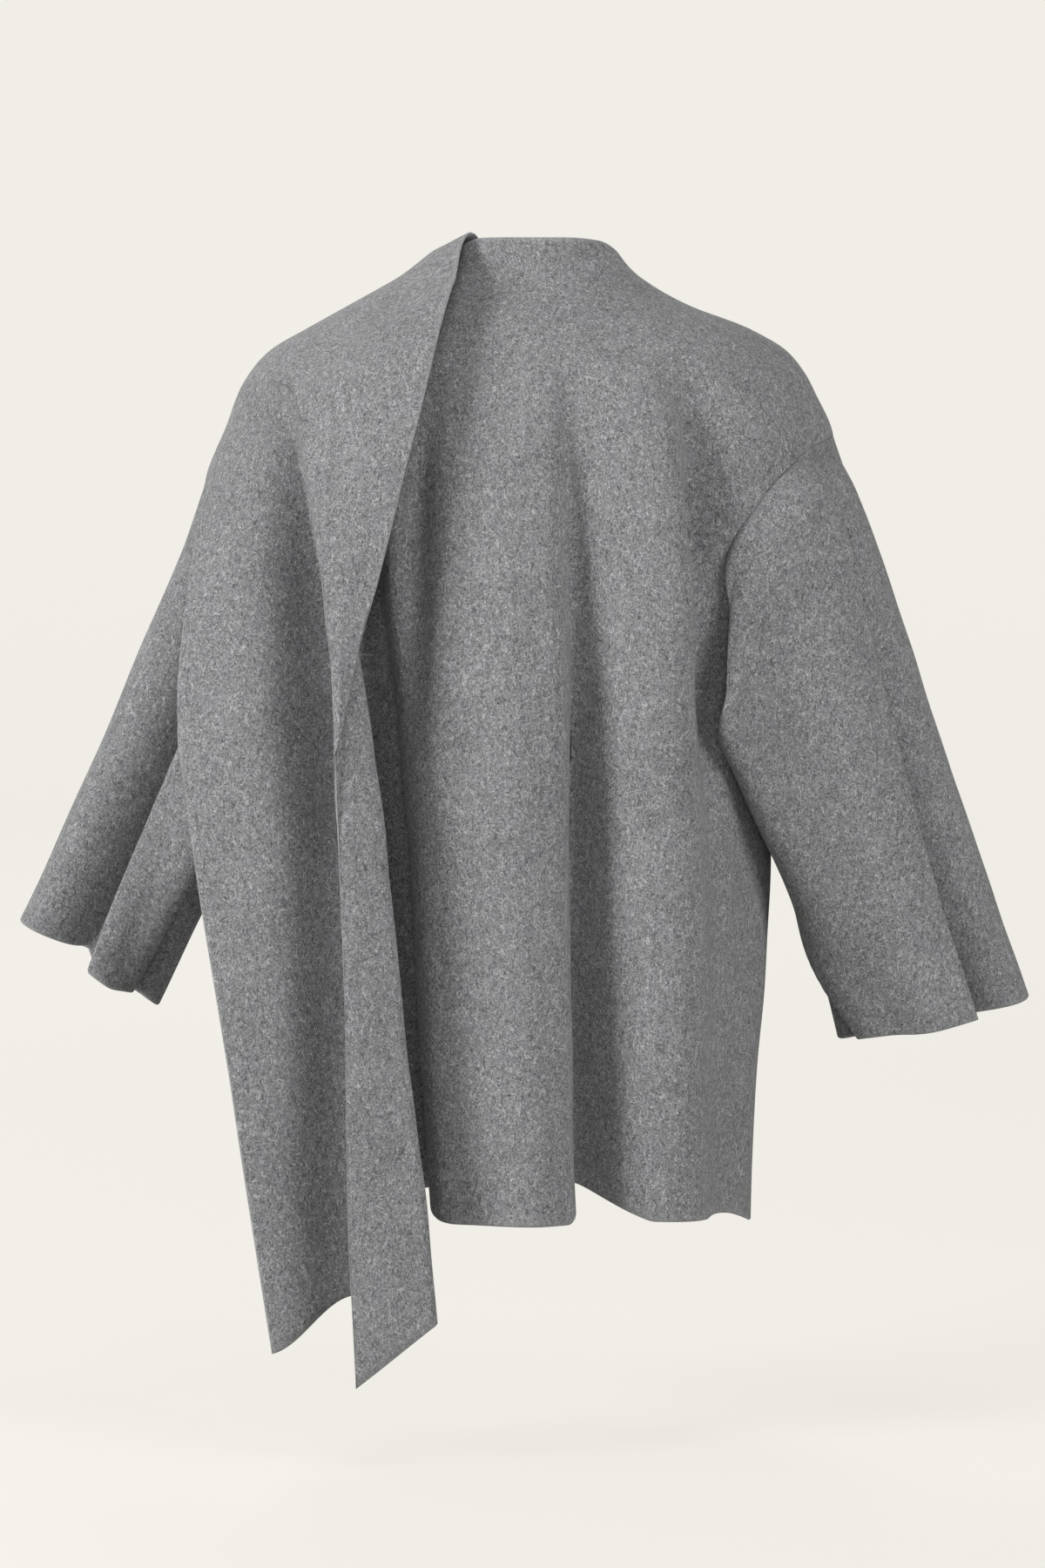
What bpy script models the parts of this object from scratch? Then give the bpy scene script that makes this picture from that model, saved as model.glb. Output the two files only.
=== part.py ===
"""Cape jacket in grey felted wool, filled out as if worn, with no wearer in it.

Five cut pieces: the back, the left front, the right front with its cape end, and two dropped sleeves.
The right front crosses the chest, goes over the left shoulder and hangs down the back in two points.

Frame: metres, +Z up, the garment's back faces -Y and the wearer's left is at -X.
The origin is the centre of the neck base, where the wearer's shoulders carry the jacket.

Every piece is a wall of felt on one shared form. "Turn" is the angle about the upright axis:
0 at the centre back, 90 at the right side seam, 180 at the centre front, 270 at the left side seam.
"""

import math

import bpy
import numpy as np

COLLECTION = "cape_jacket"

# ---------------------------------------------------------------- driving sizes
WALL = 0.0022            # thickness of the felt
SEAM_GAP = 0.0003        # between two sewn pieces
LAYER_GAP = 0.0080       # between the sleeves and the body they hang beside
UNDER_REACH = 0.016      # how far below the wrap's edge the left sleeve still keeps in
UNDER_GAP = 0.0070       # from the wrapped cloth in to the left sleeve under it
UNDER_SWELL = 0.8        # how fast the left sleeve swells out again below the wrap's edge

FELT_GREY = (0.205, 0.205, 0.212, 1.0)
FELT_ROUGHNESS = 0.95
SHARP_ANGLE = 40         # degrees between faces that shade as an edge

# Level sections of the form, in millimetres. "right", "left", "back" and "front" are the half sizes
# of the jacket itself, "over_..." those of the cloth wrapped over it. "square" is the exponent of the
# section's superellipse, where 2 is a true ellipse.
SECTION_COLUMNS = ("z", "right", "left", "back", "front", "square",
                   "over_left", "over_back", "over_front", "over_square")
SECTIONS = (
    (34, 67, 56, 44, 56, 2.0, 44, 70, 42, 2.0),
    (25, 71, 63, 48, 63, 2.0, 63, 76, 58, 2.0),
    (12, 82, 70, 55, 72, 2.0, 85, 81, 76, 2.0),
    (-5, 105, 94, 66, 82, 2.0, 113, 88, 90, 2.0),
    (-22, 138, 121, 82, 92, 2.0, 142, 98, 102, 2.0),
    (-40, 184, 154, 97, 102, 2.0, 174, 108, 112, 2.0),
    (-57, 211, 183, 108, 110, 2.0, 202, 118, 120, 2.1),
    (-74, 224, 204, 117, 116, 2.1, 218, 127, 126, 2.1),
    (-92, 234, 217, 124, 121, 2.1, 229, 134, 131, 2.2),
    (-127, 249, 232, 134, 130, 2.2, 242, 144, 140, 2.3),
    (-145, 251, 235, 138, 133, 2.2, 248, 148, 143, 2.3),
    (-200, 252, 236, 146, 140, 2.2, 271, 157, 150, 2.4),
    (-270, 235, 224, 150, 145, 2.3, 306, 163, 155, 2.5),
    (-337, 203, 200, 152, 148, 2.3, 333, 168, 158, 2.6),
    (-480, 199, 197, 151, 149, 2.3, 352, 172, 160, 2.6),
    (-760, 182, 182, 150, 146, 2.3, 352, 172, 158, 2.6),
    (-900, 182, 182, 150, 146, 2.3, 352, 172, 158, 2.6),
)

# The jacket's own edges: height in millimetres at each turn.
EDGE_COLUMNS = ("turn", "neck", "hem")
EDGES = (
    (0, 30, -741),
    (40, 30, -741),
    (70, 28, -748),
    (90, 19, -758),
    (130, 6, -758),
    (180, -10, -756),
    (230, -6, -758),
    (270, 8, -758),
    (300, 19, -750),
    (320, 27, -741),
    (345, 30, -741),
    (360, 30, -741),
)

# The wrapped right front: its free neck edge and its lower edge, which climbs to the left arm.
WRAP_EDGE_COLUMNS = ("turn", "neck", "low")
WRAP_EDGES = (
    (90, 19, -758),
    (130, 8, -758),
    (150, 4, -746),
    (165, 2, -712),
    (180, 2, -660),
    (210, 8, -492),
    (240, 20, -300),
    (255, 27, -214),
    (270, 34, -145),
)
WRAP_HEM = -0.758        # level where the wrap's lower edge starts, at the right side seam
HEM_LEFT = (130, 160)    # turns over which that edge leaves the hem and its troughs
CAPE_EDGE_FALL = 0.0048  # how far the cape end's edge falls in each degree of turn at the shoulder
WRAP_LIFT_FROM = 126     # turn where the wrap begins to leave the jacket's form
WRAP_LIFT_TO = 166       # turn where it is wholly on the outer form
LEFT_FRONT_EDGE = 169    # turn of the left front's free edge, under the wrap

# Long folds of the body: the turn of each at chest and hem, its half width in degrees, and how far
# it stands out (+) or in (-) at chest, waist and hem, in millimetres.
FOLD_COLUMNS = ("name", "turn_chest", "turn_hem", "half", "chest", "waist", "hem")
BODY_FOLDS = (
    ("left_back_trough", -38, -31, 11, -6, -24, -40),
    ("left_back_lobe", -9, -5, 12, 4, 9, 12),
    ("mid_back_trough", 9, 14.5, 6.5, -5, -24, -46),
    ("right_back_lobe", 36, 40, 16, 3, 7, 14),
    ("right_side_trough", 66, 68, 8, -4, -9, -12),
    ("right_front_trough", 136, 138, 10, 0, -8, -22),
    ("left_front_trough", 214, 210, 10, 0, -8, -20),
    ("left_front_lobe", 238, 238, 12, 0, 4, 10),
)
FOLD_STATIONS = (-0.06, -0.20, -0.45, -0.76)
HEM_LIFT = 0.45          # a trough lifts the hem by this part of its depth

# The armhole is an ellipse on the unrolled form.
ARMHOLE_CENTRE = -0.232
ARMHOLE_HALF_HEIGHT = 0.105
ARMHOLE_HALF_TURN = 33.0
SIDE_SEAM_RADIUS = 0.19  # from the upright axis to the side seams
SIDE_SEAM_HALF_GAP = math.degrees(SEAM_GAP / 2 / SIDE_SEAM_RADIUS)
UNDERARM = ARMHOLE_CENTRE - ARMHOLE_HALF_HEIGHT

# Cuffs, in millimetres: the centre, the half sizes across and through, and the tilt in degrees.
SLEEVE_COLUMNS = ("side", "x", "y", "z", "half_wide", "half_deep", "tilt",
                  "droop_in", "droop_back", "droop_at", "cap")
SLEEVES = {
    "right_sleeve": (1, 333, 0, -594, 77, 47, 12.8, 44, 34, 0.20, 2),
    "left_sleeve": (-1, -349, 2, -546, 62, 60, 29.7, 26, 16, 0.22, 7),
}

CAP_PEAK = 0.10          # how far down the sleeve its cap stands out most, as a part of its length
CAP_END = 0.65           # and where it has died away
CAP_HALF = 26            # the cap's half width in degrees, about the top of the sleeve

# The cloth's droop under the arm: its angle round the sleeve, half width and share, behind and in front.
DROOPS = (
    (138, 36, 1.0),
    (226, 34, 0.30),
)

# Folds that run down a sleeve: the angle round the sleeve at armhole and cuff (0 on top, 90 at the
# back, 180 under the arm), the half width, how far out at mid and cuff, and the lean at the cuff.
SLEEVE_FOLD_COLUMNS = ("top", "cuff", "half", "out_mid", "out_cuff", "lean", "drop")
SLEEVE_FOLDS = {
    "right_sleeve": (
        (22, 56, 13, -7, -19, 0, 0),
        (38, 76, 12, 3, 9, -7, 2),
        (100, 112, 26, 3, 5, 0, 9),
        (140, 146, 11, -4, -14, 0, -2),
        (222, 236, 16, -4, -14, 0, 0),
        (290, 296, 18, 4, 10, 0, 3),
    ),
    "left_sleeve": (
        (36, 78, 18, -8, -20, 0, 0),
        (60, 106, 12, 4, 12, -6, 6),
        (104, 126, 9, -4, -13, 0, -2),
        (130, 148, 14, 2, 6, 3, 5),
        (230, 238, 16, -5, -12, 0, 0),
        (290, 296, 22, 3, 8, 0, 5),
    ),
}

FOLDS_GROWN = 0.25       # how far down the sleeve the folds reach their full depth
GAP_GROWN = 0.12         # and its gap from the body
START_STEP = 0.06        # how far down the sleeve its direction at the armhole is taken
BENT_BACK = (-0.9, 0.0)  # cosines between which a sleeve counts as folding back over its seam
FOLDED_START = 0.6       # how much of the seam's gap a sleeve that folds back leaves out

# The cape end on the back, from the shoulder ridge to its two points, in millimetres. Each row is one
# section across it: the lower free edge, the rounded fold where the cloth turns back, the crest where
# it turns again, and the free neck edge. "turn" is how far the cloth turns over at the fold and
# "curl" how far it turns again at the crest, in degrees. "trough" is how deep the under layer sinks
# beside the pleat, and "rise" lifts the middle of the under layer.
CAPE_COLUMNS = ("edge_x", "edge_z", "fold_x", "fold_z", "crest_x", "crest_z", "neck_x", "neck_z",
                "turn", "curl", "trough", "rise")
CAPE_SECTIONS = (
    (-248, -145, -203, -66, -209, -66, -43, 34, 0, 0, 0, 0),
    (-255, -193, -172, -108, -183, -104, -57, -10, 120, 120, 3, 0),
    (-262, -241, -158, -162, -170, -155, -73, -78, 180, 180, 7, 0),
    (-267, -288, -145, -220, -160, -208, -90, -152, 180, 180, 10, 0),
    (-270, -329, -133, -275, -154, -262, -110, -233, 180, 180, 13, 0),
    (-270, -360, -123, -322, -150, -310, -127, -295, 180, 180, 15, 0),
    (-264, -400, -112, -397, -148, -397, -148, -397, 180, 90, 16, 0),
    (-252, -484, -101, -479, -146, -478, -146, -478, 180, 20, 16, 0),
    (-233, -601, -88, -597, -143, -597, -143, -597, 180, 0, 16, 0),
    (-215, -720, -74, -712, -142, -716, -142, -716, 180, 0, 15, 4),
    (-196, -842, -66, -814, -131, -865, -131, -865, 180, 0, 13, 30),
)
PLEAT_RADIUS = 0.0045    # of the cloth's turn at the fold and at the crest
PLEAT_STEP = 0.0004      # along the dense line the sections are measured on
CAPE_TROUGH_HALF = 0.030
CAPE_TROUGH_BESIDE = 0.014       # from the crest to the trough's deepest line
CAPE_TROUGH_END = (0.9, 1.0)     # part of the under layer over which the trough ends at the fold
RIDGE_REACH = 0.06       # part of the cape end over which its lower edge rounds the shoulder
PLEAT_REACH = 0.10       # and over which its mesh lines come to keep to the pleat
POINTS_REACH = (0.6, 0.8)        # and over which they spread out again towards the points

# Mesh counts.
NECK_FRACTIONS = (0.0, 0.18, 0.39, 0.58, 0.78)
YOKE_ROWS = (-0.060, -0.092)
ARMHOLE_STEPS = 12
SKIRT_FRACTIONS = (0.14, 0.31, 0.48, 0.65, 0.82, 1.0)
BACK_TURNS = (-90, -83, -74, -64, -54, -45, -38, -31, -23, -15, -7, 0, 5, 9.5, 14, 19, 26, 34, 42, 50,
              58, 66, 74, 83, 90)
LEFT_FRONT_TURNS = (LEFT_FRONT_EDGE, 178, 188, 198, 207, 216, 226, 237, 248, 259, 270)
ARMHOLE_CROWDING = 62.0  # how many degrees of a piece crowd together beside an armhole
CROWDING_POWER = 1.3     # and how quickly that dies away
TURN_STEP = 0.2          # steps over which the form's normal is taken
HEIGHT_STEP = 0.001
FREE_EDGE_SPARE = (0.10, 0.60)   # cloth left for the crest's mesh lines, past it and at the points
CREST_TOP_SPARE = 0.6    # part of that left for the upper of the crest's two lines
WRAP_TURNS = (90, 99, 110, 122, 135, 149, 164, 179, 194, 210, 226, 240, 252, 262, 270)
WRAP_ROWS_BELOW = 0.05   # the wrap's rows follow the side seam's down to this far under the armhole
WRAP_ROWS_TURNS = (140, 270)     # turns over which they spread out to follow the shoulder ridge's
CAPE_ROWS = 15
CAPE_ROWS_POWER = 1.15   # crowds the cape end's rows together near the ridge
PLEAT_LINES = (0, 5, 9, 11, 15)     # the neck edge, the crest's turn and the fold's turn
RIDGE_SHARES = (0, 0.48, 0.545, 0.575, 0.64, 1)  # of the cloth over the ridge at those lines
SLEEVE_RINGS = (0.0, 0.05, 0.10, 0.20, 0.33, 0.54, 0.77, 1.0)
SLEEVE_COLUMNS_ROUND = 4 * ARMHOLE_STEPS


# ---------------------------------------------------------------- small tools
def clear_scene():
    for item in list(bpy.data.objects):
        bpy.data.objects.remove(item, do_unlink=True)


def monotone(xs, ys, x):
    """A smooth curve through the rows of a table, with no overshoot; xs rise."""
    xs = np.asarray(xs, float)
    ys = np.asarray(ys, float)
    step = np.diff(xs)
    slope = np.diff(ys) / step
    tangent = np.zeros_like(ys)
    product = slope[:-1] * slope[1:]
    total = np.where(np.abs(slope[:-1] + slope[1:]) < 1e-12, 1.0, slope[:-1] + slope[1:])
    tangent[1:-1] = np.where(product > 0, 2 * product / total, 0.0)
    tangent[0] = slope[0]
    tangent[-1] = slope[-1]
    x = np.clip(x, xs[0], xs[-1])
    i = np.clip(np.searchsorted(xs, x, side="right") - 1, 0, len(step) - 1)
    t = (x - xs[i]) / step[i]
    return ((1 + 2 * t) * (1 - t) ** 2 * ys[i] + t * (1 - t) ** 2 * step[i] * tangent[i]
            + t * t * (3 - 2 * t) * ys[i + 1] + t * t * (t - 1) * step[i] * tangent[i + 1])


def ease(low, high, x):
    t = np.clip((x - low) / (high - low), 0.0, 1.0)
    return t * t * (3 - 2 * t)


def mix(a, b, share):
    return a + (b - a) * share


def unit(vectors):
    length = np.linalg.norm(vectors, axis=-1, keepdims=True)
    return vectors / np.maximum(length, 1e-12)


# ---------------------------------------------------------------- the shared form
SECTION_TABLE = np.array(SECTIONS[::-1], float)
SECTION_Z = SECTION_TABLE[:, 0] / 1000.0


def section(column, z):
    index = SECTION_COLUMNS.index(column)
    scale = 1.0 if "square" in column else 0.001
    return monotone(SECTION_Z, SECTION_TABLE[:, index] * scale, z)


def edge_height(table, column_names, column, turn):
    rows = np.array(table, float)
    return monotone(rows[:, 0], rows[:, column_names.index(column)] / 1000.0, turn)


def neck_edge(turn):
    return edge_height(EDGES, EDGE_COLUMNS, "neck", turn % 360)


def hem_edge(turn):
    level = edge_height(EDGES, EDGE_COLUMNS, "hem", turn % 360)
    return level - HEM_LIFT * np.minimum(0.0, body_fold(turn, level))


def wrap_neck_edge(turn):
    return edge_height(WRAP_EDGES, WRAP_EDGE_COLUMNS, "neck", turn)


def wrap_low_edge(turn):
    hem_share = 1 - ease(*HEM_LEFT, turn)
    lift = -HEM_LIFT * np.minimum(0.0, body_fold(turn, WRAP_HEM)) * hem_share
    return edge_height(WRAP_EDGES, WRAP_EDGE_COLUMNS, "low", turn) + lift


def body_fold(turn, z):
    """How far the body's folds stand out at this turn and height."""
    out = 0.0
    _, chest_level, _, hem_level = FOLD_STATIONS
    down = np.clip((chest_level - z) / (chest_level - hem_level), 0, 1)
    for _, turn_chest, turn_hem, half, chest, waist, hem in BODY_FOLDS:
        centre = mix(turn_chest, turn_hem, down)
        away = (turn - centre + 180) % 360 - 180
        heights = (hem, waist, chest, 0.0)
        amount = monotone(FOLD_STATIONS[::-1], heights, z) / 1000.0
        out = out + amount * np.exp(-(away / half) ** 2)
    return out


def ring_radius(turn, wide, deep, square):
    angle = np.radians(turn)
    return ((np.abs(np.cos(angle)) / deep) ** square
            + (np.abs(np.sin(angle)) / wide) ** square) ** (-1.0 / square)


def place(turn, radius, z):
    angle = np.radians(turn)
    return np.stack(np.broadcast_arrays(radius * np.sin(angle), -radius * np.cos(angle), z), -1)


def body_radius(turn, z):
    turn = turn % 360
    wide = np.where(turn <= 180, section("right", z), section("left", z))
    at_back = (turn < 90) | (turn > 270)
    deep = np.where(at_back, section("back", z), section("front", z))
    return ring_radius(turn, wide, deep, section("square", z)) + body_fold(turn, z)


def body_point(turn, z):
    turn, z = np.broadcast_arrays(np.asarray(turn, float), np.asarray(z, float))
    return place(turn, body_radius(turn, z), z)


def form_normal(surface, turn, z):
    """The normal of one of the two forms at a turn and height."""
    turn = np.asarray(turn, float)
    z = np.asarray(z, float)
    across = surface(turn + TURN_STEP, z) - surface(turn - TURN_STEP, z)
    up = surface(turn, z + HEIGHT_STEP) - surface(turn, z - HEIGHT_STEP)
    return unit(np.cross(across, up))


def wrap_point(turn, z):
    """The wrapped right front, from the right seams (turn 90) to the left shoulder ridge (270)."""
    turn, z = np.broadcast_arrays(np.asarray(turn, float), np.asarray(z, float))
    wide = np.where(turn <= 180, section("right", z), section("over_left", z))
    outer = ring_radius(turn, wide, section("over_front", z), section("over_square", z))
    share = ease(WRAP_LIFT_FROM, WRAP_LIFT_TO, turn)
    return place(turn, mix(body_radius(turn, z), outer, share), z)


def armhole_half_turn(z):
    """Half the armhole's width in degrees at this height; 0 above and below it."""
    reach = (z - ARMHOLE_CENTRE) / ARMHOLE_HALF_HEIGHT
    return ARMHOLE_HALF_TURN * np.sqrt(np.clip(1 - reach * reach, 0, 1))


# ---------------------------------------------------------------- rows shared by the body pieces
def row_heights(turn, top, bottom):
    """Heights of the rows of a body piece at one turn, from neck edge to hem."""
    neck = [mix(top, YOKE_ROWS[0], share) for share in NECK_FRACTIONS]
    angles = np.linspace(0, math.pi, ARMHOLE_STEPS + 1)
    armhole = [ARMHOLE_CENTRE + ARMHOLE_HALF_HEIGHT * math.cos(angle) for angle in angles]
    skirt = [mix(UNDERARM, bottom, share) for share in SKIRT_FRACTIONS]
    return np.array(neck + list(YOKE_ROWS) + armhole + skirt)


def seam_rows():
    return row_heights(90, neck_edge(90), hem_edge(90))


# ---------------------------------------------------------------- building a wall of felt
def grid_normals(points, round_columns=False):
    if round_columns:
        across = np.roll(points, -1, 1) - np.roll(points, 1, 1)
    else:
        across = np.gradient(points, axis=1)
    along = np.gradient(points, axis=0)
    return unit(np.cross(across, -along))


def felt_wall(name, points, normals, round_columns=False):
    """A closed wall of even thickness about a grid of points: both faces and the rims.

    It is lofted by hand, because its sections are unlike and because the Solidify modifier would
    tilt the rims of two neighbouring pieces into each other at their seam."""
    rows, columns = points.shape[:2]
    outer = points + normals * WALL / 2
    inner = points - normals * WALL / 2
    vertices = np.concatenate([outer.reshape(-1, 3), inner.reshape(-1, 3)])
    inside = rows * columns

    def at(row, column):
        return row * columns + column % columns

    faces = []
    last = columns if round_columns else columns - 1
    for row in range(rows - 1):
        for column in range(last):
            a, b = at(row, column), at(row + 1, column)
            c, d = at(row + 1, column + 1), at(row, column + 1)
            for triangle in ((a, b, c), (a, c, d)):
                faces.append(triangle)
                faces.append(tuple(inside + corner for corner in reversed(triangle)))
    for column in range(last):
        top = (at(0, column), at(0, column + 1))
        low = (at(rows - 1, column + 1), at(rows - 1, column))
        for one, two in (top, low):
            faces.append((one, two, inside + two, inside + one))
    if not round_columns:
        for row in range(rows - 1):
            left = (at(row + 1, 0), at(row, 0))
            right = (at(row, columns - 1), at(row + 1, columns - 1))
            for one, two in (left, right):
                faces.append((one, two, inside + two, inside + one))

    mesh = bpy.data.meshes.new(name)
    mesh.from_pydata([tuple(vertex) for vertex in vertices], [], faces)
    mesh.validate()
    mesh.shade_smooth()
    mesh.set_sharp_from_angle(angle=math.radians(SHARP_ANGLE))
    piece = bpy.data.objects.new(name, mesh)
    mesh.materials.append(felt_material(name))
    bpy.data.collections[COLLECTION].objects.link(piece)
    return piece


def felt_material(name):
    material = bpy.data.materials.new("felt_" + name)
    material.use_nodes = True
    shader = material.node_tree.nodes["Principled BSDF"]
    shader.inputs["Base Color"].default_value = FELT_GREY
    shader.inputs["Roughness"].default_value = FELT_ROUGHNESS
    shader.inputs["Metallic"].default_value = 0.0
    return material


# ---------------------------------------------------------------- back and left front
def body_panel(name, turns):
    """A body piece between two of its edges, cut out round the armholes: its points' turns crowd
    together beside an armhole, where the piece ends at its edge."""
    turns = np.array(turns, float)
    points = []
    normals = []
    for row, height in enumerate(seam_rows()):
        notch = max(float(armhole_half_turn(height)), SIDE_SEAM_HALF_GAP)
        pushed = turns.copy()
        for side in (-90, 90, 270):
            near = np.clip(1 - np.abs(turns - side) / ARMHOLE_CROWDING, 0, 1) ** CROWDING_POWER
            pushed = pushed + np.sign((turns[0] + turns[-1]) / 2 - side) * notch * near
        heights = [row_heights(turn, neck_edge(turn), hem_edge(turn))[row] for turn in pushed]
        points.append(body_point(pushed, heights))
        normals.append(form_normal(body_point, pushed, heights))
    felt_wall(name, np.array(points), np.array(normals))


# ---------------------------------------------------------------- right front and cape end
def cape_row(reach):
    """The measures of one section of the cape end; reach runs from 0 at the ridge to 1."""
    rows = np.array(CAPE_SECTIONS, float)
    at = np.linspace(0, 1, len(rows))
    measures = {}
    for i, name in enumerate(CAPE_COLUMNS):
        scale = 1.0 if name in ("turn", "curl") else 0.001
        measures[name] = float(monotone(at, rows[:, i] * scale, reach))
    return measures


def cape_path(row):
    """A dense path across one section, from the lower edge to the neck edge: the cloth used so far,
    how far along and off the form it is, and the cloth used at each of the pleat's four marks."""
    neck, crest, fold, edge = (np.array([row[key + "_x"], row[key + "_z"]])
                               for key in ("neck", "crest", "fold", "edge"))
    turn = math.radians(row["turn"])
    curl = math.radians(row["curl"])
    under = max(0.0, float(np.linalg.norm(fold - crest)) - 2 * PLEAT_RADIUS)
    low = float(np.linalg.norm(fold - edge)) - PLEAT_RADIUS
    lapel = max(0.0, float(np.linalg.norm(neck - crest)) - PLEAT_RADIUS)
    marks = np.cumsum((low, PLEAT_RADIUS * turn, under, PLEAT_RADIUS * curl, lapel))
    cloth = np.linspace(0, marks[-1], int(marks[-1] / PLEAT_STEP))
    heading = np.interp(cloth, np.concatenate([[0], marks[:4], [marks[-1] + 1]]),
                        (0, 0, turn, turn, turn - curl, turn - curl))
    along = np.concatenate([[0], np.cumsum(np.cos(heading[1:]) * cloth[1])])
    off = np.concatenate([[0], np.cumsum(np.sin(heading[1:]) * cloth[1])])
    at_middle = int(np.searchsorted(cloth, marks[1] + under / 2))
    at_fold = int(np.argmax(along[:at_middle + 1]))
    at_crest = at_middle + int(np.argmin(along[at_middle:])) if lapel else len(cloth) - 1
    middle = (crest + fold) / 2
    turned_over = min(1.0, float(along[at_fold] - along[at_crest]) / float(np.linalg.norm(fold - crest)))
    fold = mix(middle, fold, turned_over)
    crest = mix(middle, crest, turned_over)
    places = np.zeros((len(cloth), 2))
    for start, stop, one, two in ((0, at_fold, edge, fold), (at_fold, at_crest, fold, crest),
                                  (at_crest, len(cloth) - 1, crest, neck)):
        here = along[start:stop + 1]
        span = here[-1] - here[0]
        share = (here - here[0]) / span if abs(span) > 1e-6 else np.zeros(len(here))
        places[start:stop + 1] = one + share[:, None] * (two - one)
    return cloth, places, off, marks[:4]


def cape_line(reach, count):
    """Mesh points across one section, neck edge first. Lines keep to the pleat's two turns."""
    row = cape_row(reach)
    cloth, places, off, marks = cape_path(row)
    x, z = places[:, 0], places[:, 1]
    under = np.clip(cloth / marks[0], 0, 1)
    z = z + row["rise"] * np.sin(math.pi * under) ** 2
    wide = section("over_left", z)
    square = section("over_square", z)
    x = mix(-wide, x, min(1.0, reach / RIDGE_REACH))
    inside = np.clip(1 - np.minimum(1.0, np.abs(x) / wide) ** square, 0, 1) ** (1 / square)
    beside = min(row["crest_x"], row["neck_x"]) - CAPE_TROUGH_BESIDE
    dip = row["trough"] * np.exp(-((x - beside) / CAPE_TROUGH_HALF) ** 2)
    dip = dip * (1 - ease(*CAPE_TROUGH_END, under))
    points = np.stack([x, -(section("over_back", z) * inside - dip + off), z], -1)

    fold_low, fold_top, crest_low, crest_top = 1 - marks / cloth[-1]
    spare = mix(*FREE_EDGE_SPARE, float(ease(*POINTS_REACH, reach)))
    crest_top = max(crest_top, CREST_TOP_SPARE * spare * fold_top)
    crest_low = max(crest_low, spare * fold_top)
    anchored = np.array((0, crest_top, crest_low, fold_top, fold_low, 1))
    shares = mix(np.array(RIDGE_SHARES), anchored, ease(0.0, PLEAT_REACH, reach))
    wanted = np.interp(np.arange(count + 1), PLEAT_LINES + (count,), shares)
    return np.stack([np.interp(1 - wanted, cloth / cloth[-1], points[:, axis]) for axis in range(3)], -1)


def build_right_front_cape():
    seam = seam_rows()
    count = len(seam) - 1
    ridge = cape_line(0.0, count)
    ridge_fractions = (ridge[0, 2] - ridge[:, 2]) / (ridge[0, 2] - ridge[-1, 2])
    notch = np.maximum(armhole_half_turn(seam), SIDE_SEAM_HALF_GAP)
    stations = []
    normals = []
    for base in WRAP_TURNS:
        turns = base + notch * max(0.0, 1 - (base - 90) / ARMHOLE_CROWDING) ** CROWDING_POWER
        heights = np.zeros(count + 1)
        for i, turn in enumerate(turns):
            top, low = wrap_neck_edge(turn), wrap_low_edge(turn)
            level = row_heights(turn, top, min(low, UNDERARM - WRAP_ROWS_BELOW))[i]
            over_ridge = mix(top, low, ridge_fractions[i])
            heights[i] = mix(level, over_ridge, ease(*WRAP_ROWS_TURNS, base))
        stations.append(wrap_point(turns, heights))
        normals.append(form_normal(wrap_point if base > 90 else body_point, turns, heights))
    for row in range(1, CAPE_ROWS + 1):
        stations.append(cape_line((row / CAPE_ROWS) ** CAPE_ROWS_POWER, count))
    points = np.array(stations).transpose(1, 0, 2)
    wall_normals = grid_normals(points)
    on_wrap = len(WRAP_TURNS) - 1
    wall_normals[:, :on_wrap] = np.array(normals).transpose(1, 0, 2)[:, :on_wrap]
    felt_wall("right_front_cape", points, wall_normals)


# ---------------------------------------------------------------- sleeves
def armhole_edge(side, angle):
    """The armhole's edge, its direction into the hole and the form's normal there."""
    theta = math.radians(angle)
    turn = side * (90 - ARMHOLE_HALF_TURN * math.sin(theta))
    z = ARMHOLE_CENTRE + ARMHOLE_HALF_HEIGHT * math.cos(theta)
    centre = body_point(side * 90, ARMHOLE_CENTRE)
    edge = body_point(turn, z)
    normal = form_normal(body_point, turn, z)
    inward = centre - edge
    inward = unit(inward - normal * np.dot(inward, normal))
    return edge, inward, normal


def sleeve_base(size, angle, along):
    """The sleeve as ruled lines from armhole to cuff, with its cap and the droop under the arm."""
    theta = math.radians(angle)
    side = size["side"]
    edge, _, _ = armhole_edge(side, angle)
    tilt = math.radians(size["tilt"])
    across = np.array([side * math.cos(tilt), 0, math.sin(tilt)])
    through = np.array([0.0, -1.0, 0.0])
    centre = np.array([size["x"], size["y"], size["z"]]) / 1000
    cuff = (centre + across * size["half_wide"] / 1000 * math.cos(theta)
            + through * size["half_deep"] / 1000 * math.sin(theta))
    point = mix(edge, cuff, along)
    outward = across * math.cos(theta) + through * math.sin(theta)
    cap = size["cap"] / 1000 * ease(0, CAP_PEAK, along) * (1 - ease(CAP_PEAK, CAP_END, along))
    point = point + outward * cap * math.exp(-(((angle + 180) % 360 - 180) / CAP_HALF) ** 2)
    peak = size["droop_at"]
    fall = ease(0, peak, along) * (1 - along) / (1 - peak) if along < peak else (1 - along) / (1 - peak)
    near = sum(share * math.exp(-((angle - at) / half) ** 2) for at, half, share in DROOPS)
    front = -1 if angle > 180 else 1
    droop = np.array([-side * size["droop_in"], -front * size["droop_back"], 0]) / 1000
    return point + droop * near * fall, outward, across, through


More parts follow.
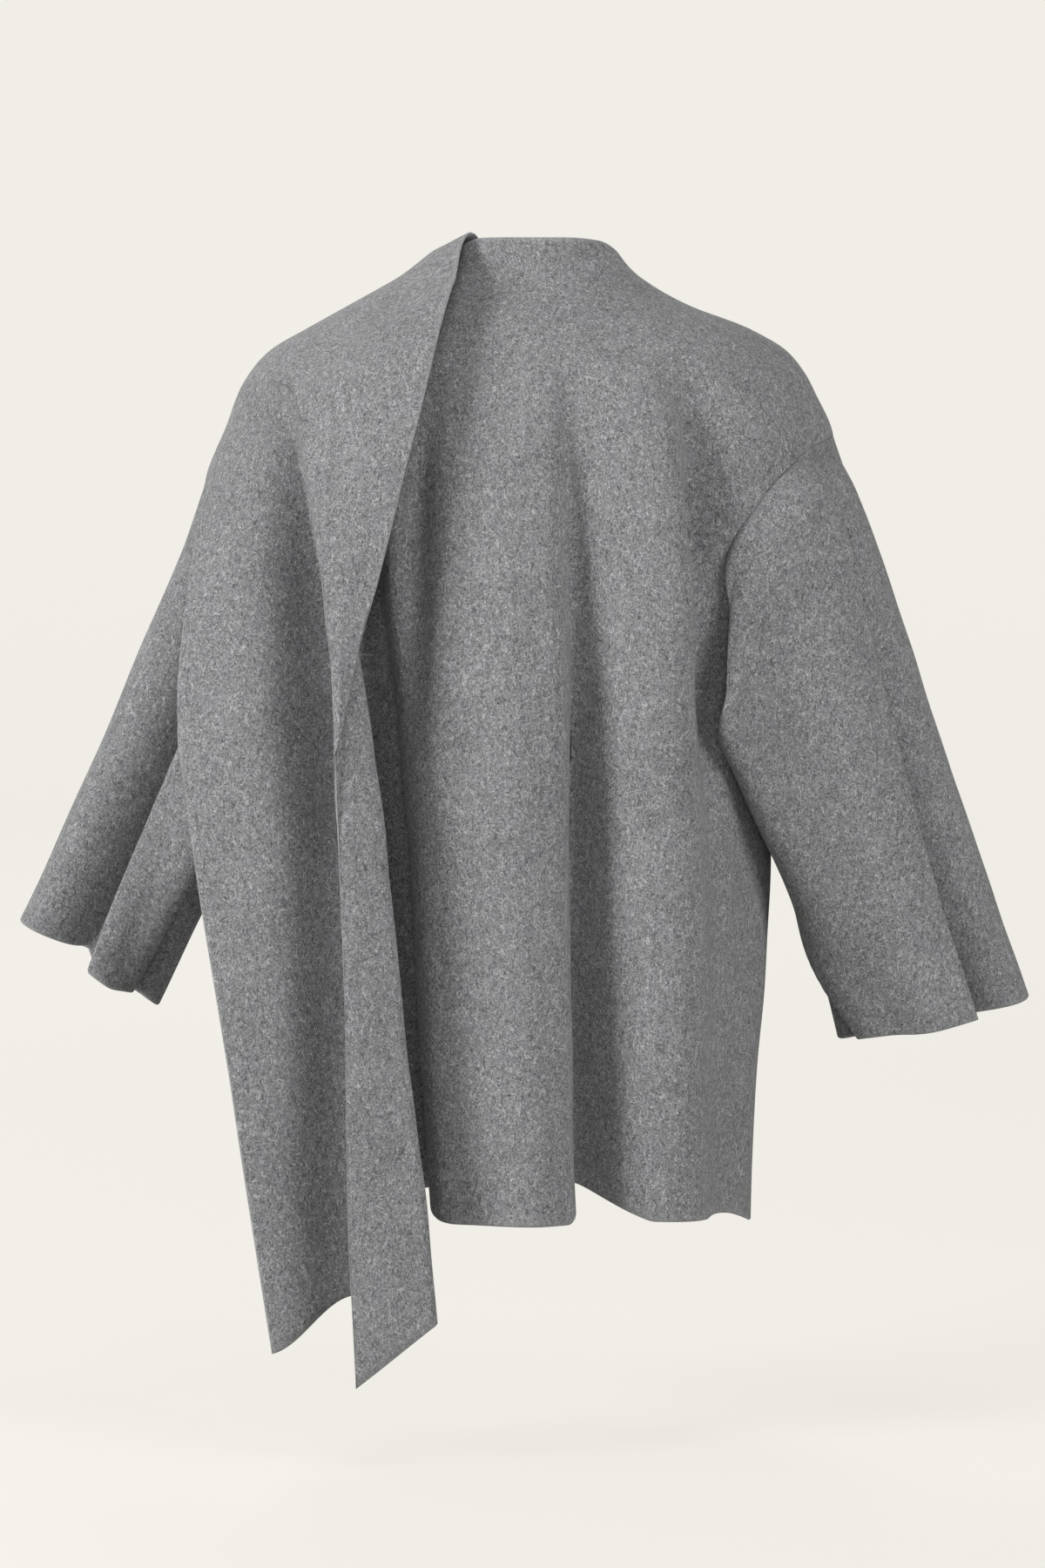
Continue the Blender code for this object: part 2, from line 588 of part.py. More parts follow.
def sleeve_point(name, angle, along):
    size = dict(zip(SLEEVE_COLUMNS, SLEEVES[name]))
    point, outward, across, through = sleeve_base(size, angle, along)
    theta = math.radians(angle)
    sideways = -across * math.sin(theta) + through * math.cos(theta)
    down = np.cross(across, through) * size["side"]
    grown = ease(0.0, FOLDS_GROWN, along)
    for top, cuff, half, out_mid, out_cuff, lean, drop in SLEEVE_FOLDS[name]:
        centre = mix(top, cuff, along)
        away = (angle - centre + 180) % 360 - 180
        near = math.exp(-(away / half) ** 2)
        out = mix(out_mid, out_cuff, along) * grown
        point = point + (outward * out + sideways * lean * along + down * drop * along ** 2) * near / 1000
    edge, inward, _ = armhole_edge(size["side"], angle)
    back = float(ease(*BENT_BACK, -np.dot(inward, unit(point - edge)))) if along else 0.0
    start_gap = (WALL + 4 * SEAM_GAP) * back
    if size["side"] < 0:
        point = under_wrap(point)
    return clear_of_body(point, mix(start_gap, LAYER_GAP, ease(0.0, GAP_GROWN, along)))


def under_wrap(point):
    """Moves a point of the left sleeve in under the wrapped cloth; below the wrap's edge it swells
    out again."""
    turn = math.degrees(math.atan2(point[0], -point[1])) % 360
    if turn > 270:
        low = CAPE_SECTIONS[0][1] / 1000 - CAPE_EDGE_FALL * (turn - 270)
    else:
        low = float(wrap_low_edge(turn))
    outer = float(ring_radius(turn, section("over_left", point[2]), section("over_front", point[2]),
                              section("over_square", point[2])))
    most = outer - UNDER_GAP + UNDER_SWELL * max(0.0, low - UNDER_REACH - point[2])
    radius = math.hypot(point[0], point[1])
    if radius > most:
        point = point * np.array([most / radius, most / radius, 1.0])
    return point


def clear_of_body(point, gap):
    """Moves a point that would be nearer the body than the gap straight out from it."""
    turn = math.degrees(math.atan2(point[0], -point[1]))
    radius = math.hypot(point[0], point[1])
    least = float(body_radius(np.array(turn), np.array(point[2]))) + gap
    if radius < least:
        point = point * np.array([least / radius, least / radius, 1.0])
    return point


def sleeve_start(name, angle):
    """Where the sleeve's wall begins beside the armhole's edge, one seam gap clear of it."""
    size = dict(zip(SLEEVE_COLUMNS, SLEEVES[name]))
    edge, inward, normal = armhole_edge(size["side"], angle)
    onward = unit(sleeve_point(name, angle, START_STEP) - edge)
    folded = ease(*BENT_BACK, -np.dot(inward, onward))
    beside = normal * (WALL + 2 * SEAM_GAP)
    before = inward * (SEAM_GAP + WALL / 2 * math.sqrt(max(0.0, 1 - np.dot(inward, onward) ** 2)))
    return edge + beside * folded + before * (1 - FOLDED_START * folded)


def build_sleeve(name):
    step = 360 / SLEEVE_COLUMNS_ROUND
    angles = [step * i for i in range(SLEEVE_COLUMNS_ROUND)]
    points = np.zeros((len(SLEEVE_RINGS), len(angles), 3))
    for ring, along in enumerate(SLEEVE_RINGS):
        for i, angle in enumerate(angles):
            points[ring, i] = sleeve_point(name, angle, along) if ring else sleeve_start(name, angle)
    points[0, 1::2] = (points[0, 0::2] + np.roll(points[0, 0::2], -1, 0)) / 2
    if SLEEVES[name][0] > 0:
        points = points[:, ::-1]
    felt_wall(name, points, grid_normals(points, round_columns=True), round_columns=True)


def main():
    clear_scene()
    collection = bpy.data.collections.new(COLLECTION)
    bpy.context.scene.collection.children.link(collection)
    body_panel("back_panel", BACK_TURNS)
    body_panel("left_front", LEFT_FRONT_TURNS)
    build_right_front_cape()
    for name in SLEEVES:
        build_sleeve(name)


main()
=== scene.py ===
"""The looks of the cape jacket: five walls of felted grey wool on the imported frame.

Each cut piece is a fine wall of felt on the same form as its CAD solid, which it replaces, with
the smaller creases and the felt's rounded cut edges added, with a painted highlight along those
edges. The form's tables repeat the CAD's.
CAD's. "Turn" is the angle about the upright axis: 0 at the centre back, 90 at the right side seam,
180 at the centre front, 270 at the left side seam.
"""

import math

import bpy
import numpy as np
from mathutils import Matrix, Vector
from mathutils.kdtree import KDTree


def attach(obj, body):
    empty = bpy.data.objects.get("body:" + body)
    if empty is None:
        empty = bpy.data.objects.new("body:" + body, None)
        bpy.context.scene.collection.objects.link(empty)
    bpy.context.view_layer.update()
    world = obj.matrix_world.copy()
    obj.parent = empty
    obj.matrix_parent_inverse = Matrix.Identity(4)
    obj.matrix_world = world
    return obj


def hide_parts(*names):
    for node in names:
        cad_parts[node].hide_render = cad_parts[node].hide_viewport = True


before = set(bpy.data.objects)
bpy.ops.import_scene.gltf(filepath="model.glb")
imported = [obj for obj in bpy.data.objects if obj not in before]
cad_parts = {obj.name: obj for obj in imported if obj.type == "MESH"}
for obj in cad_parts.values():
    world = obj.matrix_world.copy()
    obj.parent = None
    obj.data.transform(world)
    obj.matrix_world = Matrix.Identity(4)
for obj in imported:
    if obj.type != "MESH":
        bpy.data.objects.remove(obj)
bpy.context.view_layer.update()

# ---- the form, as in the CAD
WALL = 0.0022  # thickness of the felt
SEAM_GAP = 0.0003  # between two sewn pieces
LAYER_GAP = 0.0080  # between the sleeves and the body they hang beside
UNDER_REACH = 0.016  # how far below the wrap's edge the left sleeve still keeps in
UNDER_GAP = 0.0085  # from the wrapped cloth in to the left sleeve under it

# Level sections, in millimetres: half sizes of the jacket and, "over_...", of the cloth wrapped
# over it. "square" is the exponent of the section's superellipse, where 2 is a true ellipse.
SECTION_COLUMNS = ("z", "right", "left", "back", "front", "square",
                   "over_left", "over_back", "over_front", "over_square")
SECTIONS = (
    (34, 67, 56, 44, 56, 2.0, 44, 70, 42, 2.0),
    (25, 71, 63, 48, 63, 2.0, 63, 76, 58, 2.0),
    (12, 82, 70, 55, 72, 2.0, 85, 81, 76, 2.0),
    (-5, 105, 94, 66, 82, 2.0, 113, 88, 90, 2.0),
    (-22, 138, 121, 82, 92, 2.0, 142, 98, 102, 2.0),
    (-40, 184, 154, 97, 102, 2.0, 174, 108, 112, 2.0),
    (-57, 211, 183, 108, 110, 2.0, 202, 118, 120, 2.1),
    (-74, 224, 204, 117, 116, 2.1, 218, 127, 126, 2.1),
    (-92, 234, 217, 124, 121, 2.1, 229, 134, 131, 2.2),
    (-127, 249, 232, 134, 130, 2.2, 242, 144, 140, 2.3),
    (-145, 251, 235, 138, 133, 2.2, 248, 148, 143, 2.3),
    (-200, 252, 236, 146, 140, 2.2, 271, 157, 150, 2.4),
    (-270, 235, 224, 150, 145, 2.3, 306, 163, 155, 2.5),
    (-337, 203, 200, 152, 148, 2.3, 333, 168, 158, 2.6),
    (-480, 199, 197, 151, 149, 2.3, 352, 172, 160, 2.6),
    (-760, 182, 182, 150, 146, 2.3, 352, 172, 158, 2.6),
    (-900, 182, 182, 150, 146, 2.3, 352, 172, 158, 2.6),
)

# The jacket's own edges: height in millimetres at each turn.
EDGE_COLUMNS = ("turn", "neck", "hem")
EDGES = (
    (0, 30, -741),
    (40, 30, -741),
    (70, 28, -748),
    (90, 19, -758),
    (130, 6, -758),
    (180, -10, -756),
    (230, -6, -758),
    (270, 8, -758),
    (300, 23, -750),
    (320, 29.5, -741),
    (345, 30, -741),
    (360, 30, -741),
)

# The wrapped right front: its free neck edge and its lower edge, which climbs to the left arm.
WRAP_EDGE_COLUMNS = ("turn", "neck", "low")
WRAP_EDGES = (
    (90, 19, -758),
    (130, 8, -758),
    (150, 4, -746),
    (165, 2, -712),
    (180, 2, -660),
    (210, 8, -492),
    (240, 20, -300),
    (255, 27, -214),
    (270, 34, -145),
)
CAPE_EDGE_FALL = 0.0048  # how far the cape end's edge falls in each degree of turn at the shoulder
WRAP_LIFT = (126, 166)  # turns between which the wrap goes over to its own outer form
WRAP_HEM = (130, 160)  # turns between which its low edge loses the hem's lifts
HEM_LEVEL = -0.758  # where those lifts are taken
LEFT_FRONT_EDGE = 169  # turn of the left front's free edge, under the wrap

# Long folds of the body: the turn of each at chest and hem, its half width in degrees before and
# after that turn, and how far it stands out (+) or in (-) at chest, waist and hem, in millimetres.
BODY_FOLDS = (
    ("left_back_trough", -50, -38, 14, 8.5, -34, -46, -53),
    ("lapel_trough", -33, -33, 6, 7, -15, -3, 0),
    ("left_back_lobe", -6, 3, 13, 9, 4, 9, 12),
    ("mid_back_trough", 17, 23, 4.8, 11, -21, -50, -58),
    ("right_back_lobe", 41, 45, 13, 9, 11, 13, 13),
    ("armhole_trough", 52, 60, 6.5, 5.5, -36, -9, -3),
    ("right_shoulder_strip", 75, 75, 4, 9, -9, 0, 0),
    ("right_side_trough", 66, 68, 8, 8, -4, -9, -8),
    ("right_front_trough", 136, 138, 10, 10, 0, -8, -22),
    ("left_front_trough", 214, 210, 10, 10, 0, -8, -20),
    ("left_front_lobe", 238, 238, 12, 12, 0, 4, 10),
)
FOLD_STATIONS = (-0.06, -0.20, -0.45, -0.76)
HEM_LIFT = 0.45  # a trough lifts the hem by this part of its depth

# The armhole is an ellipse on the unrolled form.
ARMHOLE_CENTRE = -0.232
ARMHOLE_HALF_HEIGHT = 0.105
ARMHOLE_HALF_TURN = 33.0
SIDE_REACH = 0.19  # of the side seams from the upright axis
HALF_GAP_TURN = math.degrees(SEAM_GAP / 2 / SIDE_REACH)  # half their gap, in degrees of turn
UNDERARM = ARMHOLE_CENTRE - ARMHOLE_HALF_HEIGHT
OVERARM = ARMHOLE_CENTRE + ARMHOLE_HALF_HEIGHT
YOKE = -0.060  # height where the neck's rows end and the shoulder's begin

# The sleeves, in millimetres and degrees: the cuff's centre, half sizes and tilt, how far the cloth
# droops in and back under the arm, the part of the way down where it droops most, how high the cap
# stands on top, and the droop's part at the back lobe.
SLEEVE_COLUMNS = ("side", "x", "y", "z", "half_wide", "half_deep", "tilt",
                  "droop_in", "droop_back", "droop_at", "cap", "lobe")
SLEEVES = {
    "right_sleeve": (1, 331, 0, -594, 78, 47, 12.8, 46, 42, 0.20, 6, 0.36),
    "left_sleeve": (-1, -349, 2, -546, 60, 60, 29.7, 26, 16, 0.22, 9, 0),
}

# Soft folds that run down a sleeve: the angle round the sleeve at armhole and cuff (0 on top, 90 at
# the back, 180 under the arm), the half width, how far out above and at the cuff, and how far aside
# and down at the cuff.
SLEEVE_FOLDS = {
    "right_sleeve": (
        (60, 112, 16, -3, -4, 0, 0),
        (20, 30, 34, 0, 0, 0, 2),
        (92, 96, 24, 2, 4, 0, 5),
        (222, 236, 16, -4, -14, 0, 0),
        (290, 296, 18, 4, 10, 0, 3),
        (330, 326, 16, -3, -8, 0, 0),
    ),
    "left_sleeve": (
        (0, 0, 30, 0, 0, 26, 0),
        (30, 62, 34, -30, -40, 0, -4),
        (70, 72, 20, 0, 0, 0, -5),
        (112, 116, 16, 0, 0, 0, 7),
        (150, 160, 14, 4, 10, 2, 4),
        (230, 238, 16, -5, -12, 0, 0),
        (290, 296, 22, 3, 8, 0, 5),
        (330, 326, 14, -3, -7, 0, 0),
    ),
}

# Sharp folds, each a lobe that overhangs the valley beside it: the angle of its crest at armhole
# and cuff, the side of the lobe (+1 for growing angles), where along the sleeve it starts and is
# full, the degrees that lobe and valley take up, and the crest's height, the valley's depth and
# the overhang, at that start and at the cuff.
PLEAT_COLUMNS = ("top", "cuff", "side", "start", "full", "lobe", "wide",
                 "crest_top", "crest_cuff", "valley_top", "valley_cuff", "over_top", "over_cuff")
SLEEVE_PLEATS = {
    "right_sleeve": (
        (27, 75, 1, -0.40, -0.10, 28, 22, 15, 16, -22, -30, 9, 11),
        (205, 136, -1, 0.42, 0.80, 15, 17, 3, 10, -6, -24, 3, 8),
    ),
    "left_sleeve": (
        (4, 104, 1, 0.15, 0.40, 15, 28, 5, 12, -12, -34, 4, 10),
        (122, 133, -1, 0.55, 0.90, 15, 12, 2, 4, -5, -13, 1, 3),
    ),
}
CREST_WIDTH = 2.2  # degrees over which a crest turns over into its valley
OVERHANG_WIDTH = 6.0  # degrees over which its lobe leans out past it
OVERHANG_BACK = 0.7 * CREST_WIDTH  # and over which that lean ends on the valley's side
TUCKED_AT = 2 * CREST_WIDTH  # how far past the crest the valley's wall is drawn in under it
TUCKED_WIDTH = 1.5 * CREST_WIDTH

# Where along a sleeve, from 0 at the armhole to 1 at the cuff, and round it, in degrees.
FIRST_RING = 0.05  # its first even ring
START_AIM = 0.06  # the point that the sleeve's start heads for
FOLDS_GROWN = 0.25  # where its soft folds are full
GAP_GROWN = 0.12  # where it hangs a whole LAYER_GAP off the body
CAP_ALONG = (0, 0.10, 0.10, 0.65)  # where the cap begins, is full, begins to fall and ends
CAP_WIDTH = 26.0
DROOPS = ((138, 36), (226, 34), (84, 26))  # middle and width: behind the arm, before it, back lobe
DROOP_BEFORE = 0.30  # the second one's part of the first
SEEN_SEAM = (12, 45, 110, 160)  # the seam swells between these angles
SWELL_FADE = (0.05, 0.45)
SEAM_SWELL = 0.0050  # how far a sleeve's back swells beside its seam
SEAM_ROUNDING = ((0.0, 0.0), (0.07, 0.50), (0.18, 0.85), (0.42, 1.0), (0.7, 1.0))  # how it rises
FOLDED_BACK = (-0.9, 0.0)  # how its way on leaves the armhole: straight in, or level or back
START_HELD = 0.6  # part of the seam's step in that a sleeve folded back doesn't take
TUCK = 0.006  # how far a sleeve's seam allowance runs in behind the armhole's edge
TUCK_BEND = 0.35  # how near the first row its bend lies
ARMHOLE_SINK = 0.030  # how far a sleeve's folds may sink in over the open armhole
ARMHOLE_RIM = (0.62, 0.90)  # parts of the armhole's size between which that ends
UNDER_SPREAD = 0.8  # how steeply the left sleeve swells out again below the wrap

# The cape end on the back, from the shoulder ridge to its two points, in millimetres. Each row is a
# section across it: the lower free edge, the rounded fold where the cloth turns back, the crest
# where it turns again, and the free neck edge. "turn" is how far the cloth turns over at the fold
# and "curl" how far it turns again at the crest, in degrees. "trough" is how deep the under layer
# sinks beside the pleat, and "rise" lifts the middle of the under layer.
CAPE_COLUMNS = ("edge_x", "edge_z", "fold_x", "fold_z", "crest_x", "crest_z", "neck_x", "neck_z",
                "turn", "curl", "trough", "rise")
CAPE_SECTIONS = (
    (-248, -145, -203, -66, -209, -66, -43, 34, 0, 0, 0, 0),
    (-255, -193, -170, -108, -181, -104, -57, -10, 140, 140, 11, 0),
    (-262, -241, -156, -162, -168, -155, -73, -78, 180, 180, 33, 0),
    (-267, -288, -143, -220, -158, -208, -90, -152, 180, 180, 45, 0),
    (-270, -329, -131, -275, -151, -262, -110, -233, 180, 180, 48, 0),
    (-270, -360, -123, -322, -146, -310, -127, -295, 180, 180, 47, 0),
    (-264, -400, -112, -397, -144, -397, -144, -397, 180, 90, 46, 0),
    (-252, -484, -101, -479, -142, -478, -142, -478, 180, 20, 37, 0),
    (-233, -601, -88, -597, -139, -597, -139, -597, 180, 0, 37, 0),
    (-215, -720, -74, -712, -138, -716, -138, -716, 180, 0, 36, 4),
    (-196, -842, -66, -814, -131, -865, -131, -865, 180, 0, 32, 30),
)
PLEAT_RADIUS = 0.0045  # of the cloth's turn at the fold and at the crest
PLEAT_STEP = 0.0004  # along the dense line the sections are measured on
CAPE_TROUGH_OUT = (0.028, 0.041)  # the trough's half width beside the pleat, by the ridge and below
CAPE_TROUGH_IN = 0.024  # and under the pleat
CAPE_SAG = (2.3, 0.34)  # the wider sag about the trough: how many times as wide, and its part of it
TROUGH_BESIDE = 0.006  # how far the trough's middle lies from the crest
PLEAT_LIFT = 0.011  # how far the pleat stands off the cloth under it
LAPEL_SINK = 0.5  # part of that which is lost at the neck edge
FREE_EDGE_LIFT = 0.004  # and the cape end's lower free edge off the sleeve
FREE_EDGE_WIDE = 0.35  # part of the under layer that lifts with that edge
UNDER_FOLD = 0.9  # part of the under layer where the trough begins to end at the fold

# Parts of the cape end's reach over which each of these comes in.
RIDGE_REACH = 0.06  # its place on the back, from the shoulder ridge
RIDGE_LINES = (0.0, 0.10)  # its mesh lines, from the ridge's shares to the pleat's own
TROUGH_REACH = (0.1, 0.5)
PLEAT_REACH = (0.0, 0.30)
FREE_EDGE_REACH = (0.0, 0.2)
POINTS_REACH = (0.6, 0.8)

# The wrap's free edge where it rolls in over the collar at the left of the neck, in millimetres.
# "along" is the turn from the shoulder ridge in degrees, before it, or thousandths of the cape
# end's reach, after it.
NECK_ROLL_COLUMNS = ("along", "x", "y", "z")
NECK_ROLL = (
    (-45, -55.4, 55.4, 13.4),
    (-25, -54, 27, 20),
    (-15, -47, 13, 23),
    (-5, -38, -2, 27),
    (0, -35, -12, 29),
    (5, -36, -22, 31),
    (10, -38.5, -30, 33),
    (15, -41, -36, 33.5),
    (20, -44, -42, 31),
    (30, -47, -50, 25),
    (45, -49.5, -61, 17),
    (60, -51.5, -74, 9),
    (80, -54.1, -86, 0),
)
NECK_ROLL_DEPTH = 0.030  # how far from the edge the cloth bends for the roll

# The cape end's under layer, kept for the left sleeve, which is made after it.
CAPE_FLOOR = {}
CAPE_UNDER_FROM = 0.60  # part of the cape's mesh lines after which all belong to its under layer
CAPE_NEAR = 0.010  # how near in x and z counts as under the cape end
CAPE_CLEAR = WALL + 0.0040

# ---- fine mesh counts
NECK_ROWS = 22
YOKE_ROWS = 18
ARMHOLE_ROWS = 44
SKIRT_ROWS = 60
BACK_STEP = 1.0  # degrees between the body's columns
WRAP_STATIONS = 110
WRAP_ROWS = (140, 270)  # turns between which its rows leave the body's and spread evenly
WRAP_ROWS_DOWN = 0.05  # how far below the underarm the body's rows reach at least
WRAP_NORMALS = (150, 175)  # turns between which it leaves the form's normals
CAPE_STATIONS = 130
CAPE_CROWDING = 1.15  # how its stations crowd by the ridge
PLEAT_SHARES = (0, 0.20, 0.34, 0.42, 0.56, 1)  # of the cape's lines: neck edge, crest and fold
RIDGE_SHARES = (0, 0.48, 0.545, 0.575, 0.64, 1)  # of the cloth over the ridge at those lines
CREST_SPARE = (0.10, 0.60)  # part of the cloth kept for the crest's lines, by the ridge and points
NECK_SPARE = 0.6  # and for the first of them, as part of that
ARMHOLE_CROWDING = 62.0  # how many degrees of a piece crowd together beside an armhole
CROWDING_POWER = 1.3
SLEEVE_RINGS = 100
SLEEVE_AROUND = 300
SLEEVE_STEPS = 721  # even angles that its columns' spread is measured at
PLEAT_CROWDING = 1.2  # how much closer a sleeve's columns are by a pleat
PLEAT_BESIDE = 8  # how many degrees beside it
PLEAT_FADE = 12.0  # and over how many more it fades
TURN_STEP = 0.2  # steps over which the form's normal is taken
HEIGHT_STEP = 0.001

# ---- looks
FELT_WARM = (0.238, 0.236, 0.238)
FELT_COOL = (0.234, 0.235, 0.247)
FELT_DARK = (0.055, 0.055, 0.060)
FELT_LIGHT = (0.52, 0.52, 0.53)
CUT_EDGE_HIGHLIGHT = 0.5  # painted highlight: how far a cut edge's colour goes towards the lighter fibres
HIGHLIGHT_ON_FACES = 0.45  # part of that on the faces' last row of points
DARKEST = 0.15  # part of the colour left after all its swings

# The felt's unevenness: each noise's waves per metre, detail and roughness, how much the colour
# swings with it, and its part of the bump's height.
NOISES = (
    (760.0, 2.0, 0.65, 2.5, 1.0),
    (210.0, 2.0, 0.60, 0.34, 1.2),
    (62.0, 2.0, 0.55, 0.26, 0.0),
    (17.0, 1.0, 0.50, 0.20, 0.0),
)
TINT_NOISE = (85.0, 1.0)  # waves per metre and detail, between the warm and cool greys
TINT_TURN = (33, 3.0)  # degrees and shift
TINT_LEVELS = (0.35, 0.65)

# The fibres of each shade: how strongly they show, their width as a band of the noise's level,
# their part of the bump's height, and three sets of turn in degrees, waves per metre and shift.
FIBRES = (
    (FELT_DARK, 0.62, 0.065, -0.4, ((75, 310, 5.0), (110, 355, 6.3), (145, 400, 7.6))),
    (FELT_LIGHT, 0.55, 0.060, 0.6, ((20, 290, 0.0), (60, 340, 1.1), (100, 390, 2.2))),
)
FIBRE_STRETCH = (1.0, 1.0, 0.6)
BREAK_SCALE = 0.8  # of the noise that breaks the fibres up, beside theirs
BREAK_TWIST = 0.4
BREAK_LEVELS = (0.48, 0.60)
TURN_PARTS = (1.0, 1.7, 2.3)  # of a noise's turn and shift, about and along x, y and z
SHIFT_PARTS = (1.0, 0.7, 1.3)
BUMP_STRENGTH = 0.6
BUMP_DISTANCE = 0.0005
FELT_SHADER = {"Roughness": 0.95, "Specular IOR Level": 0.15,
               "Sheen Weight": 0.12, "Sheen Roughness": 0.6}

BACKGROUND = (0.875, 0.855, 0.800)
GLOW_NEAR_TO_FAR = (2.0, 6.2, 1.065, 1.205)  # evens out what the lamps give the paper near and far
PAPER_SHARE = 0.22  # how much of the paper seen is lit by the lamps, so that it takes shadows
BOUNCE = (0.34, 0.33, 0.31)  # the same paper as bounced light sees it, so that shadows stay deep
WORLD_TINT = (1.0, 0.99, 0.97)
WORLD_LIGHT = 0.12
LAMPS = (
    ("key", (-3.4, -1.9, 0.6), 1.5, 132),
    ("fill", (2.9, -2.9, 0.3), 1.8, 76),
    ("front", (0.0, -4.3, 0.4), 1.6, 22),
    ("top", (0.2, -0.7, 2.6), 1.2, 18),
    ("rear", (-1.0, 3.6, 2.6), 1.8, 80),
)
STAGE_HALF_WIDTH = 14.0
STAGE_NEAR = -9.0
BEND_AT = 6.2  # where the paper bends up behind the jacket
BEND_RADIUS = 1.6
BEND_ANGLES = np.linspace(0.1, math.pi / 2, 14)
STAGE_TOP = 9.0
FLOOR_LEVEL = -0.925
TARGET = Vector((0.0, 0.0, -0.406))
CAMERA_AT = Vector((0.0, -4.5, -0.0913))
FRAME_PIXELS_HIGH = 1800
PIXELS_PER_UNIT = 6444.27  # pixels across one metre at one metre from the camera
SENSOR = 36.0


# ---- small tools
def by_name(names, rows):
    """A table's columns by their names."""
    return dict(zip(names, np.array(rows, float).T))


def monotone(xs, ys, x):
    """A smooth curve through the rows of a table, with no overshoot; xs rise."""
    xs = np.asarray(xs, float)
    ys = np.asarray(ys, float)
    step = np.diff(xs)
    slope = np.diff(ys) / step
    tangent = np.zeros_like(ys)
    product = slope[:-1] * slope[1:]
    total = np.where(np.abs(slope[:-1] + slope[1:]) < 1e-12, 1.0, slope[:-1] + slope[1:])
    tangent[1:-1] = np.where(product > 0, 2 * product / total, 0.0)
    tangent[[0, -1]] = slope[[0, -1]]
    x = np.clip(x, xs[0], xs[-1])
    i = np.clip(np.searchsorted(xs, x, side="right") - 1, 0, len(step) - 1)
    t = (x - xs[i]) / step[i]
    return ((1 + 2 * t) * (1 - t) ** 2 * ys[i] + t * (1 - t) ** 2 * step[i] * tangent[i]
            + t * t * (3 - 2 * t) * ys[i + 1] + t * t * (t - 1) * step[i] * tangent[i + 1])


def ease(low, high, x):
    t = np.clip((x - low) / (high - low), 0.0, 1.0)
    return t * t * (3 - 2 * t)


def rise_and_fall(start, full, fading, end, x):
    return ease(start, full, x) * (1 - ease(fading, end, x))


def bell(away, width):
    return np.exp(-(away / width) ** 2)


def mix(a, b, share):
    return a + (b - a) * share


def unit(vectors):
    length = np.linalg.norm(vectors, axis=-1, keepdims=True)
    return vectors / np.maximum(length, 1e-12)


def dot(a, b):
    return np.sum(a * b, axis=-1)


def distance(one, two):
    return np.linalg.norm(one - two)


def turned_past(turn, other):
    """How many degrees a turn lies past another one, from -180 to 180."""
    return (turn - other + 180) % 360 - 180


def moved_out(points, share):
    """Points at so many times their distance from the upright axis."""
    return points * np.stack([share, share, np.ones_like(share)], -1)


def in_scene(name, data):
    made = bpy.data.objects.new(name, data)
    bpy.context.scene.collection.objects.link(made)
    return made


# ---- the shared form
SECTION = by_name(SECTION_COLUMNS, SECTIONS[::-1])
EDGE = by_name(EDGE_COLUMNS, EDGES)
WRAP_EDGE = by_name(WRAP_EDGE_COLUMNS, WRAP_EDGES)


def section(column, z):
    scale = 1.0 if "square" in column else 0.001
    return monotone(SECTION["z"] / 1000, SECTION[column] * scale, z)


def edge_height(edge, column, turn):
    return monotone(edge["turn"], edge[column] / 1000, turn)


def hem_lift(turn, level):
    return -HEM_LIFT * np.minimum(0.0, body_fold(turn, level))


def neck_edge(turn):
    return edge_height(EDGE, "neck", turn % 360)


def hem_edge(turn):
    level = edge_height(EDGE, "hem", turn % 360)
    return level + hem_lift(turn, level)


def wrap_neck_edge(turn):
    return edge_height(WRAP_EDGE, "neck", turn)


def wrap_low_edge(turn):
    lift = hem_lift(turn, HEM_LEVEL) * (1 - ease(*WRAP_HEM, turn))
    return edge_height(WRAP_EDGE, "low", turn) + lift


def body_fold(turn, z):
    """How far the body's folds stand out at this turn and height."""
    out = 0.0
    _, chest_z, _, hem_z = FOLD_STATIONS
    for _, turn_chest, turn_hem, before, after, chest, waist, hem in BODY_FOLDS:
        centre = mix(turn_chest, turn_hem, np.clip((chest_z - z) / (chest_z - hem_z), 0, 1))
        away = turned_past(turn, centre)
        amount = monotone(FOLD_STATIONS[::-1], (hem, waist, chest, 0.0), z) / 1000.0
        out = out + amount * bell(away, np.where(away < 0, before, after))
    return out


def ring_radius(turn, wide, deep, square):
    angle = np.radians(turn)
    return ((np.abs(np.cos(angle)) / deep) ** square
            + (np.abs(np.sin(angle)) / wide) ** square) ** (-1.0 / square)


def place(turn, radius, z):
    angle = np.radians(turn)
    return np.stack(np.broadcast_arrays(radius * np.sin(angle), -radius * np.cos(angle), z), -1)


def turn_of(points):
    return np.degrees(np.arctan2(points[..., 0], -points[..., 1])) % 360


def body_radius(turn, z):
    turn = turn % 360
    wide = np.where(turn <= 180, section("right", z), section("left", z))
    at_back = (turn < 90) | (turn > 270)
    deep = np.where(at_back, section("back", z), section("front", z))
    return ring_radius(turn, wide, deep, section("square", z)) + body_fold(turn, z)


def body_point(turn, z):
    return place(turn, body_radius(turn, z), z)


def form_normal(surface, turn, z):
    """The normal of one of the two forms at a turn and height."""
    across = surface(turn + TURN_STEP, z) - surface(turn - TURN_STEP, z)
    up = surface(turn, z + HEIGHT_STEP) - surface(turn, z - HEIGHT_STEP)
    return unit(np.cross(across, up))


def wrap_point(turn, z):
    """The wrapped right front, from the right seams (turn 90) to the left shoulder ridge (270)."""
    wide = np.where(turn <= 180, section("right", z), section("over_left", z))
    outer = ring_radius(turn, wide, section("over_front", z), section("over_square", z))
    share = ease(*WRAP_LIFT, turn)
    return place(turn, mix(body_radius(turn, z), outer, share), z)


